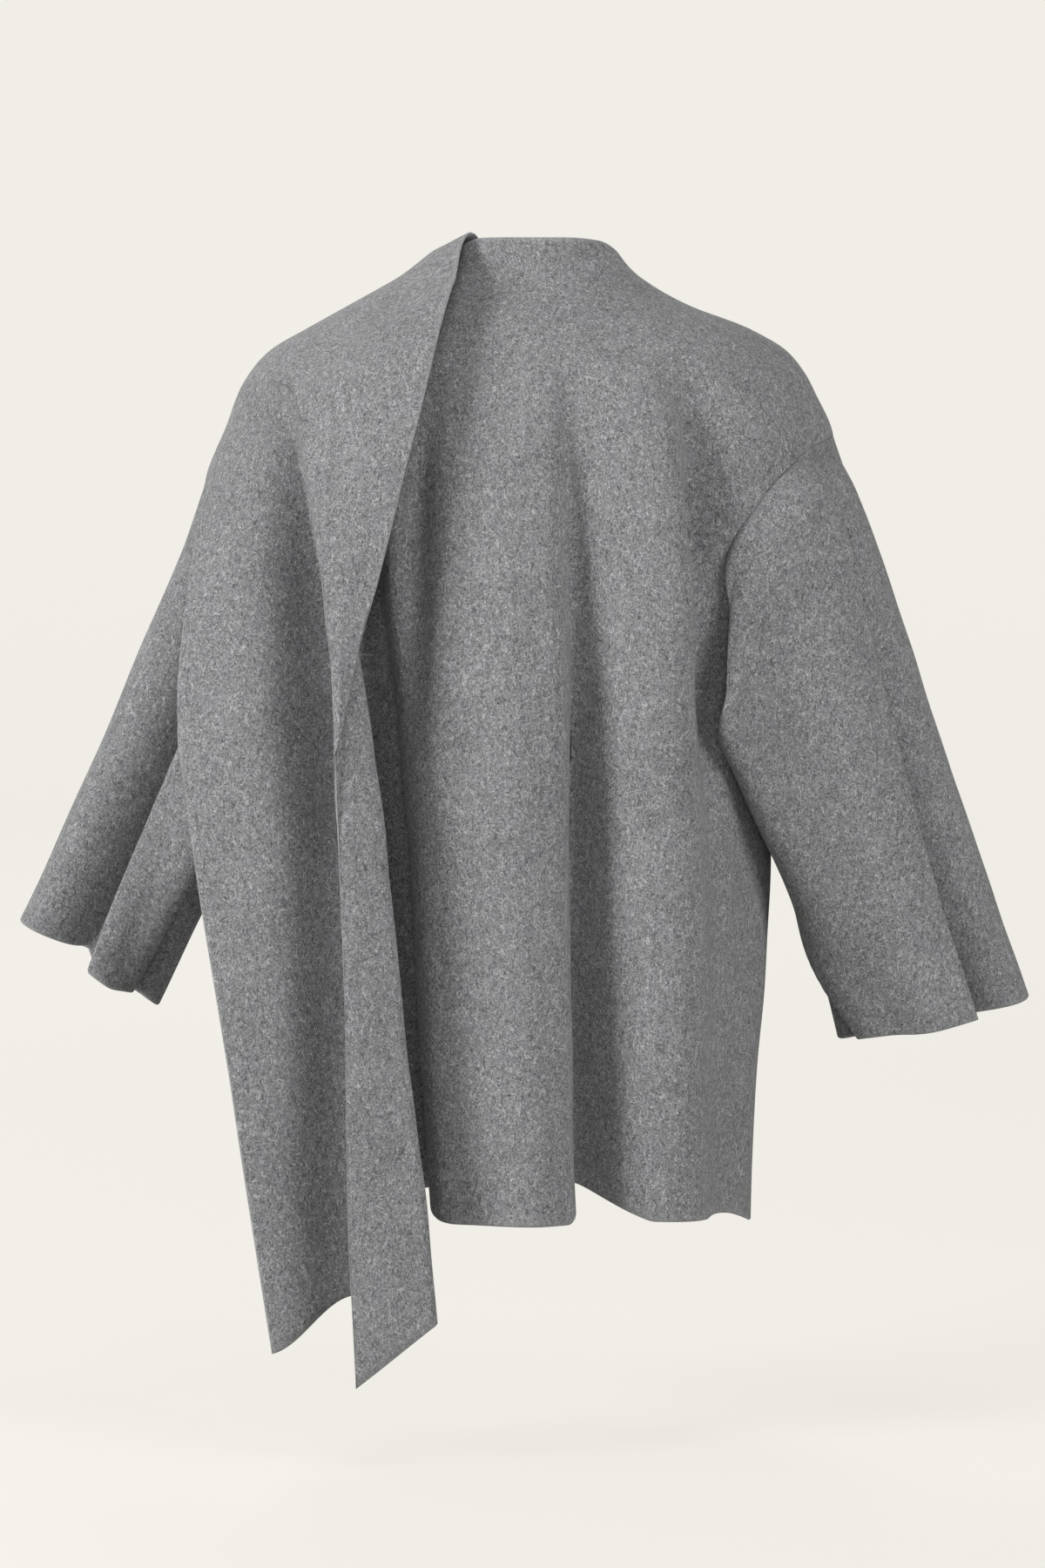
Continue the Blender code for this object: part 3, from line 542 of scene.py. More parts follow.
def armhole_half_turn(z):
    """Half the armhole's width in degrees at this height; 0 above and below it."""
    reach = (z - ARMHOLE_CENTRE) / ARMHOLE_HALF_HEIGHT
    return ARMHOLE_HALF_TURN * np.sqrt(np.clip(1 - reach * reach, 0, 1))


def row_heights(top, bottom):
    """Heights of the rows of a body piece, from neck edge to hem, at each of several columns."""
    top, bottom = np.broadcast_arrays(top, bottom)
    neck = mix(top, YOKE, np.linspace(0, 1, NECK_ROWS, endpoint=False)[:, None])
    level = np.ones_like(top)[None, :]
    yoke = np.linspace(YOKE, OVERARM, YOKE_ROWS, endpoint=False)[:, None] * level
    angles = np.linspace(0, math.pi, ARMHOLE_ROWS + 1)
    armhole = (ARMHOLE_CENTRE + ARMHOLE_HALF_HEIGHT * np.cos(angles))[:, None] * level
    skirt = mix(UNDERARM, bottom, np.linspace(0, 1, SKIRT_ROWS + 1)[1:, None])
    return np.concatenate([neck, yoke, armhole, skirt])


# ---- building a wall of felt
def grid_normals(points, closed=False):
    if closed:
        across = np.roll(points, -1, 1) - np.roll(points, 1, 1)
    else:
        across = np.gradient(points, axis=1)
    along = np.gradient(points, axis=0)
    return unit(np.cross(across, -along))


# Waves of the felt's surface: height in millimetres, radians per metre along x, y and z, and phase.
WAVES = (
    (0.55, 23, 11, 13, 0.3),
    (0.45, -31, 17, 9, 1.9),
    (0.35, 12, 43, -27, 4.1),
    (0.28, 52, -21, 31, 2.2),
    (0.22, -38, 29, 58, 5.3),
    (0.15, 83, 47, -36, 0.9),
    (0.12, -71, 66, 77, 3.4),
)
RIM_INSET = 0.55  # of the wall's thickness, rounding its cut edges
SHOULDER_EASE = 0.0034  # how far soft felt settles on the shoulders
EASE_FROM_RIGHT = -0.085  # where that begins: lower down on the left, under the wrap's weight
EASE_FROM_LEFT = -0.150
EASE_RISE = 0.040
EASE_END = (0.0, 0.022)  # heights between which it ends, below the neck's edge


def unevenness(points):
    """The slight waviness of soft felt, as a distance along its normal; smooth and the same on
    neighbouring pieces."""
    x, y, z = (points[..., axis] for axis in range(3))
    out = 0.0
    for size, fx, fy, fz, phase in WAVES:
        out = out + size * np.sin(fx * x + fy * y + fz * z + phase)
    return out / 1000


def shoulder_ease(points):
    """How far the felt settles at this height."""
    low = np.where(points[..., 0] < 0, EASE_FROM_LEFT, EASE_FROM_RIGHT)
    return SHOULDER_EASE * rise_and_fall(low, low + EASE_RISE, *EASE_END, points[..., 2])


def border_loops(grid, closed):
    """The grid's numbers round the wall's edge, so that the outer face lies on the left."""
    if closed:
        return [grid[0], grid[-1, ::-1]]
    return [np.concatenate([grid[0], grid[1:, -1], grid[-1, -2::-1], grid[-2:0:-1, 0]])]


def outward_edges(points, closed):
    """At the grid's edge, the direction away from the cloth; zero elsewhere."""
    out = np.zeros_like(points)
    out[0] += unit(points[0] - points[1])
    out[-1] += unit(points[-1] - points[-2])
    if not closed:
        out[:, 0] += unit(points[:, 0] - points[:, 1])
        out[:, -1] += unit(points[:, -1] - points[:, -2])
    return unit(out)


def felt_wall(node, points, normals, free_edges, closed=False):
    """A CAD node's piece: a solid wall of felt about a grid of points, with rims rounded at
    the middle. free_edges says which of its top, right, bottom and left edges are cut and open; the
    columns of a closed one run all round."""
    name = "felt_" + node
    rows, columns = points.shape[:2]
    points = points + normals * (unevenness(points) - shoulder_ease(points))[..., None]
    core = points - outward_edges(points, closed) * WALL * RIM_INSET
    sides = [(core + normals * half).reshape(-1, 3) for half in (WALL / 2, -WALL / 2)]
    count = rows * columns
    grid = np.arange(count).reshape(rows, columns)
    loops = border_loops(grid, closed)
    rim = np.concatenate(loops)
    vertices = np.concatenate([*sides, points.reshape(-1, 3)[rim]])

    if closed:
        grid = np.concatenate([grid, grid[:, :1]], 1)
    face = np.stack([grid[:-1, :-1], grid[1:, :-1], grid[1:, 1:], grid[:-1, 1:]], -1).reshape(-1, 4)
    faces = [face, face[:, ::-1] + count]
    start = 2 * count
    for here in loops:
        after = np.roll(here, -1)
        middle = start + np.arange(len(here))
        middle_after = np.roll(middle, -1)
        faces.append(np.stack([here, after, middle_after, middle], -1))
        faces.append(np.stack([middle, middle_after, after + count, here + count], -1))
        start += len(here)

    mesh = bpy.data.meshes.new(name)
    mesh.from_pydata(vertices.tolist(), [], np.concatenate(faces).tolist())
    mesh.update()
    mesh.shade_smooth()

    # The cut edges' rims, and more weakly the faces' last row of points, are marked for a painted
    # highlight.
    edge_highlight = np.zeros((rows, columns))
    edges = {"top": edge_highlight[0], "right": edge_highlight[:, -1], "bottom": edge_highlight[-1], "left": edge_highlight[:, 0]}
    for edge in free_edges:
        edges[edge][:] = 1
    edge_highlight = edge_highlight.ravel()
    values = np.concatenate([HIGHLIGHT_ON_FACES * edge_highlight, HIGHLIGHT_ON_FACES * edge_highlight, edge_highlight[rim]])
    attribute = mesh.attributes.new("cut_edge_highlight", "FLOAT", "POINT")
    attribute.data.foreach_set("value", values.astype(np.float32))
    return in_scene(name, mesh)


# ---- the body pieces
def crowding(away):
    """The part of an armhole's push that a column takes, so many degrees from its middle."""
    return np.clip(1 - away / ARMHOLE_CROWDING, 0, 1) ** CROWDING_POWER


def side_notch():
    """Half the gap between two body pieces in degrees, at each row of their side and armhole."""
    side = np.array([90.0])
    heights = row_heights(neck_edge(side), hem_edge(side))[:, 0]
    return np.maximum(armhole_half_turn(heights), HALF_GAP_TURN)


def body_panel(node, first, last, free_edges):
    turns = np.linspace(first, last, round((last - first) / BACK_STEP) + 1)
    notch = side_notch()[:, None]
    pushed = np.repeat(turns[None, :], len(notch), 0)
    for side in (-90, 90, 270):
        away = np.abs(turns - side)
        pushed = pushed + np.sign((first + last) / 2 - side) * notch * crowding(away)
    heights = np.array([row_heights(neck_edge(across), hem_edge(across))[row]
                        for row, across in enumerate(pushed)])
    normals = form_normal(body_point, pushed, heights)
    return felt_wall(node, body_point(pushed, heights), normals, free_edges)


def back_panel(node):
    return body_panel(node, -90, 90, ("top", "bottom"))


def left_front(node):
    return body_panel(node, LEFT_FRONT_EDGE, 270, ("top", "bottom", "left"))


# ---- right front and cape end
def cape_row(reach):
    """The measures of one section of the cape end; reach runs from 0 at the ridge to 1."""
    at = np.linspace(0, 1, len(CAPE_SECTIONS))
    row = {}
    for name, values in by_name(CAPE_COLUMNS, CAPE_SECTIONS).items():
        row[name] = monotone(at, values / (1 if name in ("turn", "curl") else 1000), reach)
    return row


def cape_path(row):
    """A dense path across one section, from the lower edge to the neck edge: the cloth used so far,
    how far along and off the form it is, and the cloth used at each of the pleat's four marks."""
    neck, crest, fold, edge = (np.array([row[key + "_x"], row[key + "_z"]])
                               for key in ("neck", "crest", "fold", "edge"))
    turn = math.radians(row["turn"])
    curl = math.radians(row["curl"])
    under = max(0.0, distance(fold, crest) - 2 * PLEAT_RADIUS)
    low = distance(fold, edge) - PLEAT_RADIUS
    lapel = max(0.0, distance(neck, crest) - PLEAT_RADIUS)
    marks = np.cumsum((low, PLEAT_RADIUS * turn, under, PLEAT_RADIUS * curl, lapel))
    cloth = np.linspace(0, marks[-1], int(marks[-1] / PLEAT_STEP))
    heading = np.interp(cloth, np.concatenate([[0], marks[:4], [marks[-1] + 1]]),
                        (0, 0, turn, turn, turn - curl, turn - curl))
    along = np.concatenate([[0], np.cumsum(np.cos(heading[1:]) * cloth[1])])
    off = np.concatenate([[0], np.cumsum(np.sin(heading[1:]) * cloth[1])])
    at_middle = np.searchsorted(cloth, marks[1] + under / 2)
    at_fold = np.argmax(along[:at_middle + 1])
    at_crest = at_middle + np.argmin(along[at_middle:]) if lapel else len(cloth) - 1
    middle = (crest + fold) / 2
    turned_over = min(1.0, (along[at_fold] - along[at_crest]) / distance(fold, crest))
    fold = mix(middle, fold, turned_over)
    crest = mix(middle, crest, turned_over)
    places = np.zeros((len(cloth), 2))
    stops = (0, at_fold, at_crest, len(cloth) - 1)
    ends = (edge, fold, crest, neck)
    for start, stop, one, two in zip(stops, stops[1:], ends, ends[1:]):
        here = along[start:stop + 1]
        span = here[-1] - here[0]
        share = (here - here[0]) / span if abs(span) > 1e-6 else np.zeros(len(here))
        places[start:stop + 1] = one + share[:, None] * (two - one)
    return cloth, places, off, marks[:4]


def cape_line(reach, count):
    """Mesh points across one section, neck edge first. Lines keep to the pleat's two turns."""
    row = cape_row(reach)
    cloth, places, off, marks = cape_path(row)
    x, z = places[:, 0], places[:, 1]
    under = np.clip(cloth / marks[0], 0, 1)
    z = z + row["rise"] * np.sin(math.pi * under) ** 2
    wide = section("over_left", z)
    square = section("over_square", z)
    x = mix(-wide, x, min(1.0, reach / RIDGE_REACH))
    inside = np.clip(1 - np.minimum(1.0, np.abs(x) / wide) ** square, 0, 1) ** (1 / square)
    beside = min(row["crest_x"], row["neck_x"]) + TROUGH_BESIDE
    out_half = mix(*CAPE_TROUGH_OUT, ease(*TROUGH_REACH, reach))
    from_middle = (x - beside) / np.where(x < beside, out_half, CAPE_TROUGH_IN)
    folded_over = ease(marks[0], marks[2] + PLEAT_STEP, cloth)
    lying_under = (1 - ease(UNDER_FOLD, 1.0, under)) * (1 - folded_over)
    sag_width, sag = CAPE_SAG
    sag = np.where(x < beside, sag, 0.0)
    dip = row["trough"] * mix(bell(from_middle, 1), bell(from_middle, sag_width), sag) * lying_under
    on_top = folded_over * (1 - LAPEL_SINK * ease(marks[3], cloth[-1] + PLEAT_STEP, cloth))
    lift = PLEAT_LIFT * ease(*PLEAT_REACH, reach) * on_top
    at_edge = (1 - ease(0.0, FREE_EDGE_WIDE, under)) ** 2
    lift = lift + FREE_EDGE_LIFT * at_edge * ease(*FREE_EDGE_REACH, reach)
    points = np.stack([x, -(section("over_back", z) * inside - dip + off + lift), z], -1)

    fold_low, fold_top, crest_low, crest_top = 1 - marks / cloth[-1]
    spare = mix(*CREST_SPARE, ease(*POINTS_REACH, reach))
    crest_top = max(crest_top, NECK_SPARE * spare * fold_top)
    crest_low = max(crest_low, spare * fold_top)
    anchored = np.array((0, crest_top, crest_low, fold_top, fold_low, 1))
    shares = mix(np.array(RIDGE_SHARES), anchored, ease(*RIDGE_LINES, reach))
    wanted = 1 - np.interp(np.linspace(0, 1, count + 1), PLEAT_SHARES, shares)
    return np.stack([np.interp(wanted, cloth / cloth[-1], axis) for axis in points.T], -1)


def roll_neck(stations, alongs):
    """Bends the cloth by the neck edge in over the collar, where the table says."""
    table = by_name(NECK_ROLL_COLUMNS, NECK_ROLL)
    known = table["along"]
    wanted = np.stack([monotone(known, table[axis] / 1000, alongs) for axis in "xyz"], -1)
    inside = ((alongs > known[0]) & (alongs < known[-1]))[:, None]
    shift = np.where(inside, wanted - stations[:, 0], 0.0)[:, None, :]
    steps = np.linalg.norm(np.diff(stations, axis=1, prepend=stations[:, :1]), axis=-1)
    away = np.clip(1 - np.cumsum(steps, axis=1) / NECK_ROLL_DEPTH, 0, 1)
    return stations + shift * (away ** 2)[..., None]


def right_front_cape(node):
    notch = side_notch()
    count = len(notch) - 1
    ridge = cape_line(0.0, count)
    ridge_fractions = (ridge[0, 2] - ridge[:, 2]) / (ridge[0, 2] - ridge[-1, 2])
    stations, normals, alongs = [], [], []
    each = np.arange(count + 1)
    bases = np.linspace(90, 270, WRAP_STATIONS + 1)
    for base in bases:
        turns = base + notch * crowding(base - 90)
        top, low = wrap_neck_edge(turns), wrap_low_edge(turns)
        level = row_heights(top, np.minimum(low, UNDERARM - WRAP_ROWS_DOWN))[each, each]
        heights = mix(level, mix(top, low, ridge_fractions), ease(*WRAP_ROWS, base))
        stations.append(wrap_point(turns, heights))
        alongs.append(base - 270)
        normals.append(form_normal(wrap_point if base > 90 else body_point, turns, heights))
    for row in range(1, CAPE_STATIONS + 1):
        reach = (row / CAPE_STATIONS) ** CAPE_CROWDING
        stations.append(cape_line(reach, count))
        alongs.append(1000 * reach)
    points = roll_neck(np.array(stations), np.array(alongs)).transpose(1, 0, 2)
    wall_normals = grid_normals(points)
    shared = np.array(normals).transpose(1, 0, 2)
    own = ease(*WRAP_NORMALS, bases)[None, :, None]
    wall_normals[:, :len(bases)] = unit(mix(shared, wall_normals[:, :len(bases)], own))
    under_layer = points[int(CAPE_UNDER_FROM * count):, len(bases):].reshape(-1, 3)
    tree = KDTree(len(under_layer))
    for i, (x, _, z) in enumerate(under_layer):
        tree.insert((x, 0.0, z), i)
    tree.balance()
    CAPE_FLOOR.update(tree=tree, levels=under_layer[:, 1])
    return felt_wall(node, points, wall_normals, ("top", "right", "bottom"))


# ---- sleeves
THROUGH = np.array([0.0, -1.0, 0.0])  # a sleeve's own direction to the back


def sleeve_size(node):
    return dict(zip(SLEEVE_COLUMNS, SLEEVES[node]))


def armhole_edge(side, angle):
    """The armhole's edge, its direction into the hole and the form's normal there."""
    theta = np.radians(angle)
    turn = side * (90 - ARMHOLE_HALF_TURN * np.sin(theta))
    z = ARMHOLE_CENTRE + ARMHOLE_HALF_HEIGHT * np.cos(theta)
    edge = body_point(turn, z)
    normal = form_normal(body_point, turn, z)
    inward = body_point(side * 90, ARMHOLE_CENTRE) - edge
    inward = unit(inward - normal * dot(inward, normal)[:, None])
    return edge, inward, normal


def sleeve_base(size, angle, along):
    """The sleeve as ruled lines from armhole to cuff, with its cap, the swell by its seam and the
    droop under the arm; and its own directions out at each angle and across."""
    theta = np.radians(angle)[:, None]
    side = size["side"]
    edge, _, _ = armhole_edge(side, angle)
    tilt = math.radians(size["tilt"])
    across = np.array([side * math.cos(tilt), 0, math.sin(tilt)])
    centre = np.array([size["x"], size["y"], size["z"]]) / 1000
    cuff = (centre + across * size["half_wide"] / 1000 * np.cos(theta)
            + THROUGH * size["half_deep"] / 1000 * np.sin(theta))
    point = mix(edge, cuff, along)
    outward = across * np.cos(theta) + THROUGH * np.sin(theta)
    cap = size["cap"] / 1000 * rise_and_fall(*CAP_ALONG, along)
    point = point + outward * cap * bell(turned_past(angle, 0), CAP_WIDTH)[:, None]
    swell = SEAM_SWELL * (1 - ease(*SWELL_FADE, along)) * rise_and_fall(*SEEN_SEAM, angle)
    point = point + outward * swell[:, None]
    peak = size["droop_at"]
    fall = (1 - along) / (1 - peak) * ease(0, peak, along)
    shares = (1.0, DROOP_BEFORE, size["lobe"])
    near = sum(share * bell(angle - middle, wide) for share, (middle, wide) in zip(shares, DROOPS))
    back = np.where(angle > 180, -1.0, 1.0)[:, None]
    droop = np.array([-side * size["droop_in"], 0, 0]) + THROUGH * size["droop_back"] * back
    return point + droop / 1000 * (near * fall)[:, None], outward, across


def pleat_shift(fold, angle, along):
    """How far a pleat moves a ring's points outward and sideways."""
    strength = ease(fold["start"], fold["full"], along) / 1000
    span = np.clip((along - fold["start"]) / (1 - fold["start"]), 0, 1)
    crest, valley, over = (strength * mix(fold[key + "_top"], fold[key + "_cuff"], span)
                           for key in ("crest", "valley", "over"))
    away = turned_past(angle, mix(fold["top"], fold["cuff"], along)) * fold["side"]
    lobe = bell(away, np.where(away > 0, fold["lobe"], CREST_WIDTH))
    sunk = (1 - bell(away, CREST_WIDTH)) * bell(away, fold["wide"]) * (away < 0)
    tucked = bell(away + TUCKED_AT, TUCKED_WIDTH)
    hanging = bell(away, np.where(away > 0, OVERHANG_WIDTH, OVERHANG_BACK))
    return crest * lobe + valley * sunk, fold["side"] * over * (tucked - hanging)


def sleeve_ring(node, angle, along):
    """The points of one ring round the sleeve, a share of the way from armhole to cuff."""
    size = sleeve_size(node)
    point, outward, across = sleeve_base(size, angle, along)
    theta = np.radians(angle)[:, None]
    sideways = -across * np.sin(theta) + THROUGH * np.cos(theta)
    down = np.cross(across, THROUGH) * size["side"]
    grown = ease(0.0, FOLDS_GROWN, along)
    for top, cuff, half, out_top, out_cuff, lean, drop in SLEEVE_FOLDS[node]:
        near = bell(turned_past(angle, mix(top, cuff, along)), half)[:, None] / 1000
        out = mix(out_top, out_cuff, along) * grown
        point = point + (outward * out + sideways * lean * along + down * drop * along ** 2) * near
    for row in SLEEVE_PLEATS[node]:
        out, aside = pleat_shift(dict(zip(PLEAT_COLUMNS, row)), angle, along)
        point = point + unit(outward + THROUGH) * out[:, None] + sideways * aside[:, None]
    edge, inward, _ = armhole_edge(size["side"], angle)
    back = ease(*FOLDED_BACK, -dot(inward, unit(point - edge)))
    if size["side"] < 0:
        point = under_cape(under_wrap(point))
    gap = mix((WALL + 4 * SEAM_GAP) * back, LAYER_GAP, ease(0.0, GAP_GROWN, along))
    return clear_of_body(point, gap)


def under_wrap(points):
    """Moves points of the left sleeve in under the wrapped cloth; below the wrap's edge it swells
    out again."""
    turn = turn_of(points)
    z = points[:, 2]
    behind = CAPE_SECTIONS[0][1] / 1000 - CAPE_EDGE_FALL * (turn - 270)
    low = np.where(turn > 270, behind, wrap_low_edge(turn))
    outer = ring_radius(turn, *(section("over_" + name, z) for name in ("left", "front", "square")))
    most = outer - UNDER_GAP + UNDER_SPREAD * np.maximum(0.0, low - UNDER_REACH - z)
    return moved_out(points, np.minimum(1.0, most / np.hypot(points[:, 0], points[:, 1])))


def under_cape(points):
    """Moves points of the left sleeve in under the cape end's trough."""
    points = points.copy()
    for point in points:
        if point[1] < 0:
            _, index, away = CAPE_FLOOR["tree"].find((point[0], 0.0, point[2]))
            if away < CAPE_NEAR:
                point[1] = max(point[1], CAPE_FLOOR["levels"][index] + CAPE_CLEAR)
    return points


def clear_of_body(points, gap):
    """Moves points that would be nearer the body than the gap straight out from it. Over the open
    armhole they may sink in."""
    turn = turn_of(points)
    from_side = np.minimum(np.abs(turn - 90), np.abs(turn - 270)) / ARMHOLE_HALF_TURN
    from_middle = (points[:, 2] - ARMHOLE_CENTRE) / ARMHOLE_HALF_HEIGHT
    over_hole = 1 - ease(*ARMHOLE_RIM, np.hypot(from_side, from_middle))
    least = body_radius(turn, points[:, 2]) + gap - ARMHOLE_SINK * over_hole
    return moved_out(points, np.maximum(1.0, least / np.hypot(points[:, 0], points[:, 1])))


def sleeve_start(node, angle):
    """Where the sleeve's wall begins beside the armhole's edge, one seam gap clear of it."""
    edge, inward, normal = armhole_edge(sleeve_size(node)["side"], angle)
    onward = unit(sleeve_ring(node, angle, START_AIM) - edge)
    folded = ease(*FOLDED_BACK, -dot(inward, onward))[:, None]
    beside = normal * (WALL + 2 * SEAM_GAP)
    straight = np.sqrt(np.maximum(0.0, 1 - dot(inward, onward) ** 2))[:, None]
    before = inward * (SEAM_GAP + WALL / 2 * straight)
    return edge + beside * folded + before * (1 - START_HELD * folded)


def sleeve_tuck(edge, inward, normal, first):
    """The seam allowance: two rows that run in behind the armhole's edge."""
    behind = edge - normal * (WALL + 2 * SEAM_GAP)
    return behind - inward * TUCK, mix(behind + inward * SEAM_GAP, first, TUCK_BEND)


def sleeve_angles(node):
    """The angles of a sleeve's columns, crowded by its pleats."""
    even = np.linspace(0, 360, SLEEVE_STEPS)
    weight = np.ones_like(even)
    for row in SLEEVE_PLEATS[node]:
        low, high = sorted(row[:2])
        outside = np.maximum(low - PLEAT_BESIDE - even, even - high - PLEAT_BESIDE)
        weight = weight + PLEAT_CROWDING * bell(np.maximum(0, outside), PLEAT_FADE)
    spread = np.concatenate([[0], np.cumsum((weight[1:] + weight[:-1]) / 2)])
    return np.interp(np.arange(SLEEVE_AROUND) / SLEEVE_AROUND * spread[-1], spread, even)


def sleeve(node):
    angles = sleeve_angles(node)
    side = sleeve_size(node)["side"]
    rings = [sleeve_ring(node, angles, along)
             for along in np.linspace(FIRST_RING, 1, SLEEVE_RINGS)]
    first = sleeve_start(node, angles)
    edge, inward, normal = armhole_edge(side, angles)
    swollen = normal * (SEAM_SWELL * rise_and_fall(*SEEN_SEAM, angles))[:, None]
    lead = [mix(first, rings[0], share) + swollen * (full - share) for share, full in SEAM_ROUNDING]
    points = np.array([*sleeve_tuck(edge, inward, normal, first), *lead, *rings])
    if side > 0:
        points = points[:, ::-1]
    normals = grid_normals(points, closed=True)
    return felt_wall(node, points, normals, ("bottom",), closed=True)


# ---- the felt
class Nodes:
    """Short names for making the nodes of a material or a world."""

    def __init__(self, owner):
        owner.use_nodes = True
        self.tree = owner.node_tree

    def add(self, kind, inputs=(), **values):
        made = self.tree.nodes.new(kind)
        for key, value in values.items():
            setattr(made, key, value)
        for socket, value in dict(inputs).items():
            self.put(made.inputs[socket], value)
        return made

    def put(self, socket, value):
        if isinstance(value, bpy.types.NodeSocket):
            self.tree.links.new(value, socket)
        elif isinstance(value, tuple) and len(value) == 3 and socket.type == "RGBA":
            socket.default_value = (*value, 1.0)
        else:
            socket.default_value = value

    def noise(self, vector, per_metre, detail, roughness=0.5, distortion=0.0):
        inputs = {"Vector": vector, "Scale": per_metre, "Detail": detail, "Roughness": roughness,
                  "Distortion": distortion}
        return self.add("ShaderNodeTexNoise", inputs).outputs[0]

    def maths(self, operation, one, two=0.0):
        return self.add("ShaderNodeMath", {0: one, 1: two}, operation=operation).outputs[0]

    def strongest(self, values):
        result = values[0]
        for value in values[1:]:
            result = self.maths("MAXIMUM", result, value)
        return result

    def between(self, value, low, high, to_low=0.0, to_high=1.0):
        inputs = {"Value": value, "From Min": low, "From Max": high,
                  "To Min": to_low, "To Max": to_high}
        made = self.add("ShaderNodeMapRange", inputs, interpolation_type="SMOOTHSTEP")
        return made.outputs["Result"]

    def mix(self, share, one, two):
        made = self.add("ShaderNodeMix", {"Factor": share, 6: one, 7: two}, data_type="RGBA")
        return made.outputs[2]

    def blend(self, share, one, two):
        return self.add("ShaderNodeMixShader", {0: share, 1: one, 2: two}).outputs[0]

    def turned(self, vector, degrees, shift, scale=(1.0, 1.0, 1.0)):
        """The coordinates turned and shifted, so that each use of a noise differs."""
        inputs = {"Vector": vector, "Scale": scale,
                  "Location": tuple(shift * part for part in SHIFT_PARTS),
                  "Rotation": tuple(math.radians(degrees * part) for part in TURN_PARTS)}
        return self.add("ShaderNodeMapping", inputs).outputs["Vector"]

    def fibres(self, vector, width, degrees, per_metre, shift):
        """Short curled fibres: thin level lines of a smooth noise, broken up by a second one."""
        place_of = self.turned(vector, degrees, shift, FIBRE_STRETCH)
        level = self.maths("SUBTRACT", self.noise(place_of, per_metre, 0.0), 0.5)
        line = self.between(self.maths("ABSOLUTE", level), 0.0, width, 1.0, 0.0)
        breaks = self.noise(place_of, per_metre * BREAK_SCALE, 0.0, distortion=BREAK_TWIST)
        return self.maths("MULTIPLY", line, self.between(breaks, *BREAK_LEVELS))

    def seen_directly(self):
        """1 where a camera ray, or one mirrored or let through on its way, meets the backdrop."""
        path = self.add("ShaderNodeLightPath").outputs
        kinds = ("Is Camera Ray", "Is Glossy Ray", "Is Transmission Ray")
        return self.strongest([path[kind] for kind in kinds])


def felt_material(name):
    material = bpy.data.materials.new(name)
    nodes = Nodes(material)
    shader = nodes.tree.nodes["Principled BSDF"]
    cloth = nodes.add("ShaderNodeTexCoord").outputs["Object"]

    tint = nodes.noise(nodes.turned(cloth, *TINT_TURN), *TINT_NOISE)
    colour = nodes.mix(nodes.between(tint, *TINT_LEVELS), FELT_WARM, FELT_COOL)
    height = 0.0
    for shade, shown, width, raised, sets in FIBRES:
        fibres = nodes.strongest([nodes.fibres(cloth, width, *row) for row in sets])
        colour = nodes.mix(nodes.maths("MULTIPLY", fibres, shown), colour, shade)
        height = nodes.maths("ADD", nodes.maths("MULTIPLY", fibres, raised), height)

    level = 1.0
    for per_metre, detail, roughness, swing, raised in NOISES:
        value = nodes.noise(cloth, per_metre, detail, roughness)
        swung = nodes.maths("MULTIPLY", nodes.maths("SUBTRACT", value, 0.5), swing)
        level = nodes.maths("ADD", swung, level)
        if raised:
            height = nodes.maths("ADD", nodes.maths("MULTIPLY", value, raised), height)
    level = nodes.maths("MAXIMUM", level, DARKEST)
    scaled = nodes.add("ShaderNodeVectorMath", {0: colour, "Scale": level}, operation="SCALE")
    # Painted highlight: at the cut edges the colour goes towards the light fibres' colour.
    edge_highlight = nodes.add("ShaderNodeAttribute", attribute_name="cut_edge_highlight").outputs["Fac"]
    colour = nodes.mix(nodes.maths("MULTIPLY", edge_highlight, CUT_EDGE_HIGHLIGHT), scaled.outputs[0], FELT_LIGHT)
    bump = nodes.add("ShaderNodeBump", {"Height": height, "Strength": BUMP_STRENGTH,
                                        "Distance": BUMP_DISTANCE}).outputs["Normal"]
    for socket, value in {"Base Color": colour, "Normal": bump, **FELT_SHADER}.items():
        nodes.put(shader.inputs[socket], value)
    return material


# Each piece: its maker, its material slot, and its cut: width and length, area and how it is held.
# The cape comes before the left sleeve, which keeps clear of it.
PIECES = {
    "back_panel": (back_panel, "wool_back", (0.60, 0.79), 0.42, "hung"),
    "left_front": (left_front, "wool_left_front", (0.33, 0.77), 0.22, "hung"),
    "right_front_cape": (right_front_cape, "wool_cape", (0.66, 1.62), 0.53, "draped"),
    "left_sleeve": (sleeve, "wool_left_sleeve", (0.44, 0.46), 0.18, "hung"),
    "right_sleeve": (sleeve, "wool_right_sleeve", (0.46, 0.50), 0.21, "hung"),
}


def build_pieces():
    for node, (maker, slot, flat, area, held) in PIECES.items():
        piece = maker(node)
        piece.data.materials.append(felt_material(slot))
        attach(piece, "root")
        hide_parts(node)


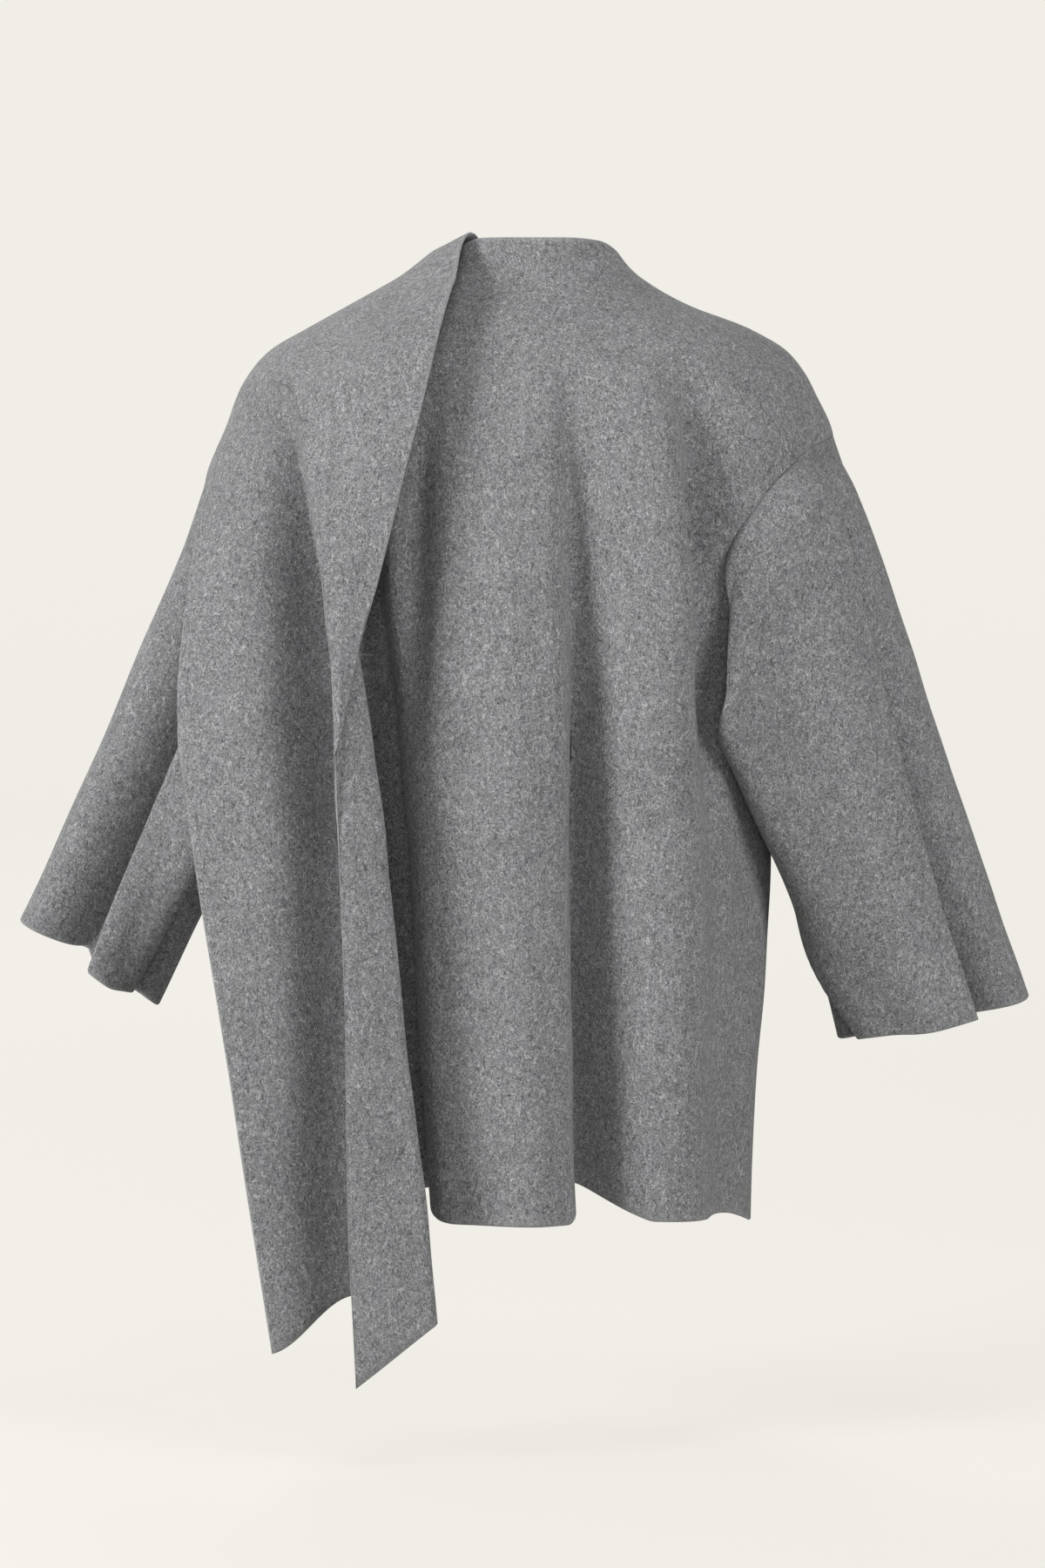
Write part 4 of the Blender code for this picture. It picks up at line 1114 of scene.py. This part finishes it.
# ---- stage, light and camera
def stage():
    """A sheet of pale paper, flat under the jacket and bent up behind it."""
    profile = [(STAGE_NEAR, 0.0), (BEND_AT, 0.0)]
    profile += [(BEND_AT + BEND_RADIUS * math.sin(a), BEND_RADIUS - BEND_RADIUS * math.cos(a))
                for a in BEND_ANGLES]
    profile += [(BEND_AT + BEND_RADIUS, STAGE_TOP)]
    sides = (-STAGE_HALF_WIDTH, STAGE_HALF_WIDTH)
    vertices = [(x, y, FLOOR_LEVEL + z) for y, z in profile for x in sides]
    faces = [(2 * i, 2 * i + 1, 2 * i + 3, 2 * i + 2) for i in range(len(profile) - 1)]
    mesh = bpy.data.meshes.new("backdrop")
    mesh.from_pydata(vertices, [], faces)
    mesh.shade_smooth()
    material = bpy.data.materials.new("backdrop_paper")
    nodes = Nodes(material)
    nodes.tree.nodes.clear()
    place_of = nodes.add("ShaderNodeTexCoord").outputs["Object"]
    behind = nodes.add("ShaderNodeSeparateXYZ", {0: place_of}).outputs["Y"]
    strength = nodes.between(behind, *GLOW_NEAR_TO_FAR)
    glow = nodes.add("ShaderNodeEmission", {"Color": BACKGROUND, "Strength": strength}).outputs[0]
    paper, bounce = (nodes.add("ShaderNodeBsdfDiffuse", {"Color": colour}).outputs[0]
                     for colour in (BACKGROUND, BOUNCE))
    seen = nodes.blend(PAPER_SHARE, glow, paper)
    surface = nodes.blend(nodes.seen_directly(), bounce, seen)
    nodes.add("ShaderNodeOutputMaterial", {"Surface": surface})
    mesh.materials.append(material)
    in_scene("backdrop", mesh)


def aimed(made, at):
    made.location = at
    made.rotation_euler = (TARGET - Vector(at)).to_track_quat("-Z", "Y").to_euler()
    return made


def lights():
    for name, at, size, power in LAMPS:
        data = bpy.data.lights.new(name, "AREA")
        data.shape, data.size, data.energy = "DISK", size, power
        aimed(in_scene(name, data), at)
    world = bpy.data.worlds.new("studio")
    nodes = Nodes(world)
    light = nodes.tree.nodes["Background"]
    nodes.put(light.inputs["Color"], WORLD_TINT)
    nodes.put(light.inputs["Strength"], WORLD_LIGHT)
    seen = nodes.add("ShaderNodeBackground", {"Color": BACKGROUND}).outputs[0]
    surface = nodes.blend(nodes.seen_directly(), light.outputs[0], seen)
    nodes.put(nodes.tree.nodes["World Output"].inputs["Surface"], surface)
    bpy.context.scene.world = world


def camera():
    data = bpy.data.cameras.new("camera")
    data.sensor_fit = "VERTICAL"
    data.sensor_height = SENSOR
    data.lens = SENSOR * PIXELS_PER_UNIT / FRAME_PIXELS_HIGH
    bpy.context.scene.camera = aimed(in_scene("camera", data), CAMERA_AT)


bpy.context.scene.view_settings.view_transform = "Standard"
camera()
build_pieces()
stage()
lights()
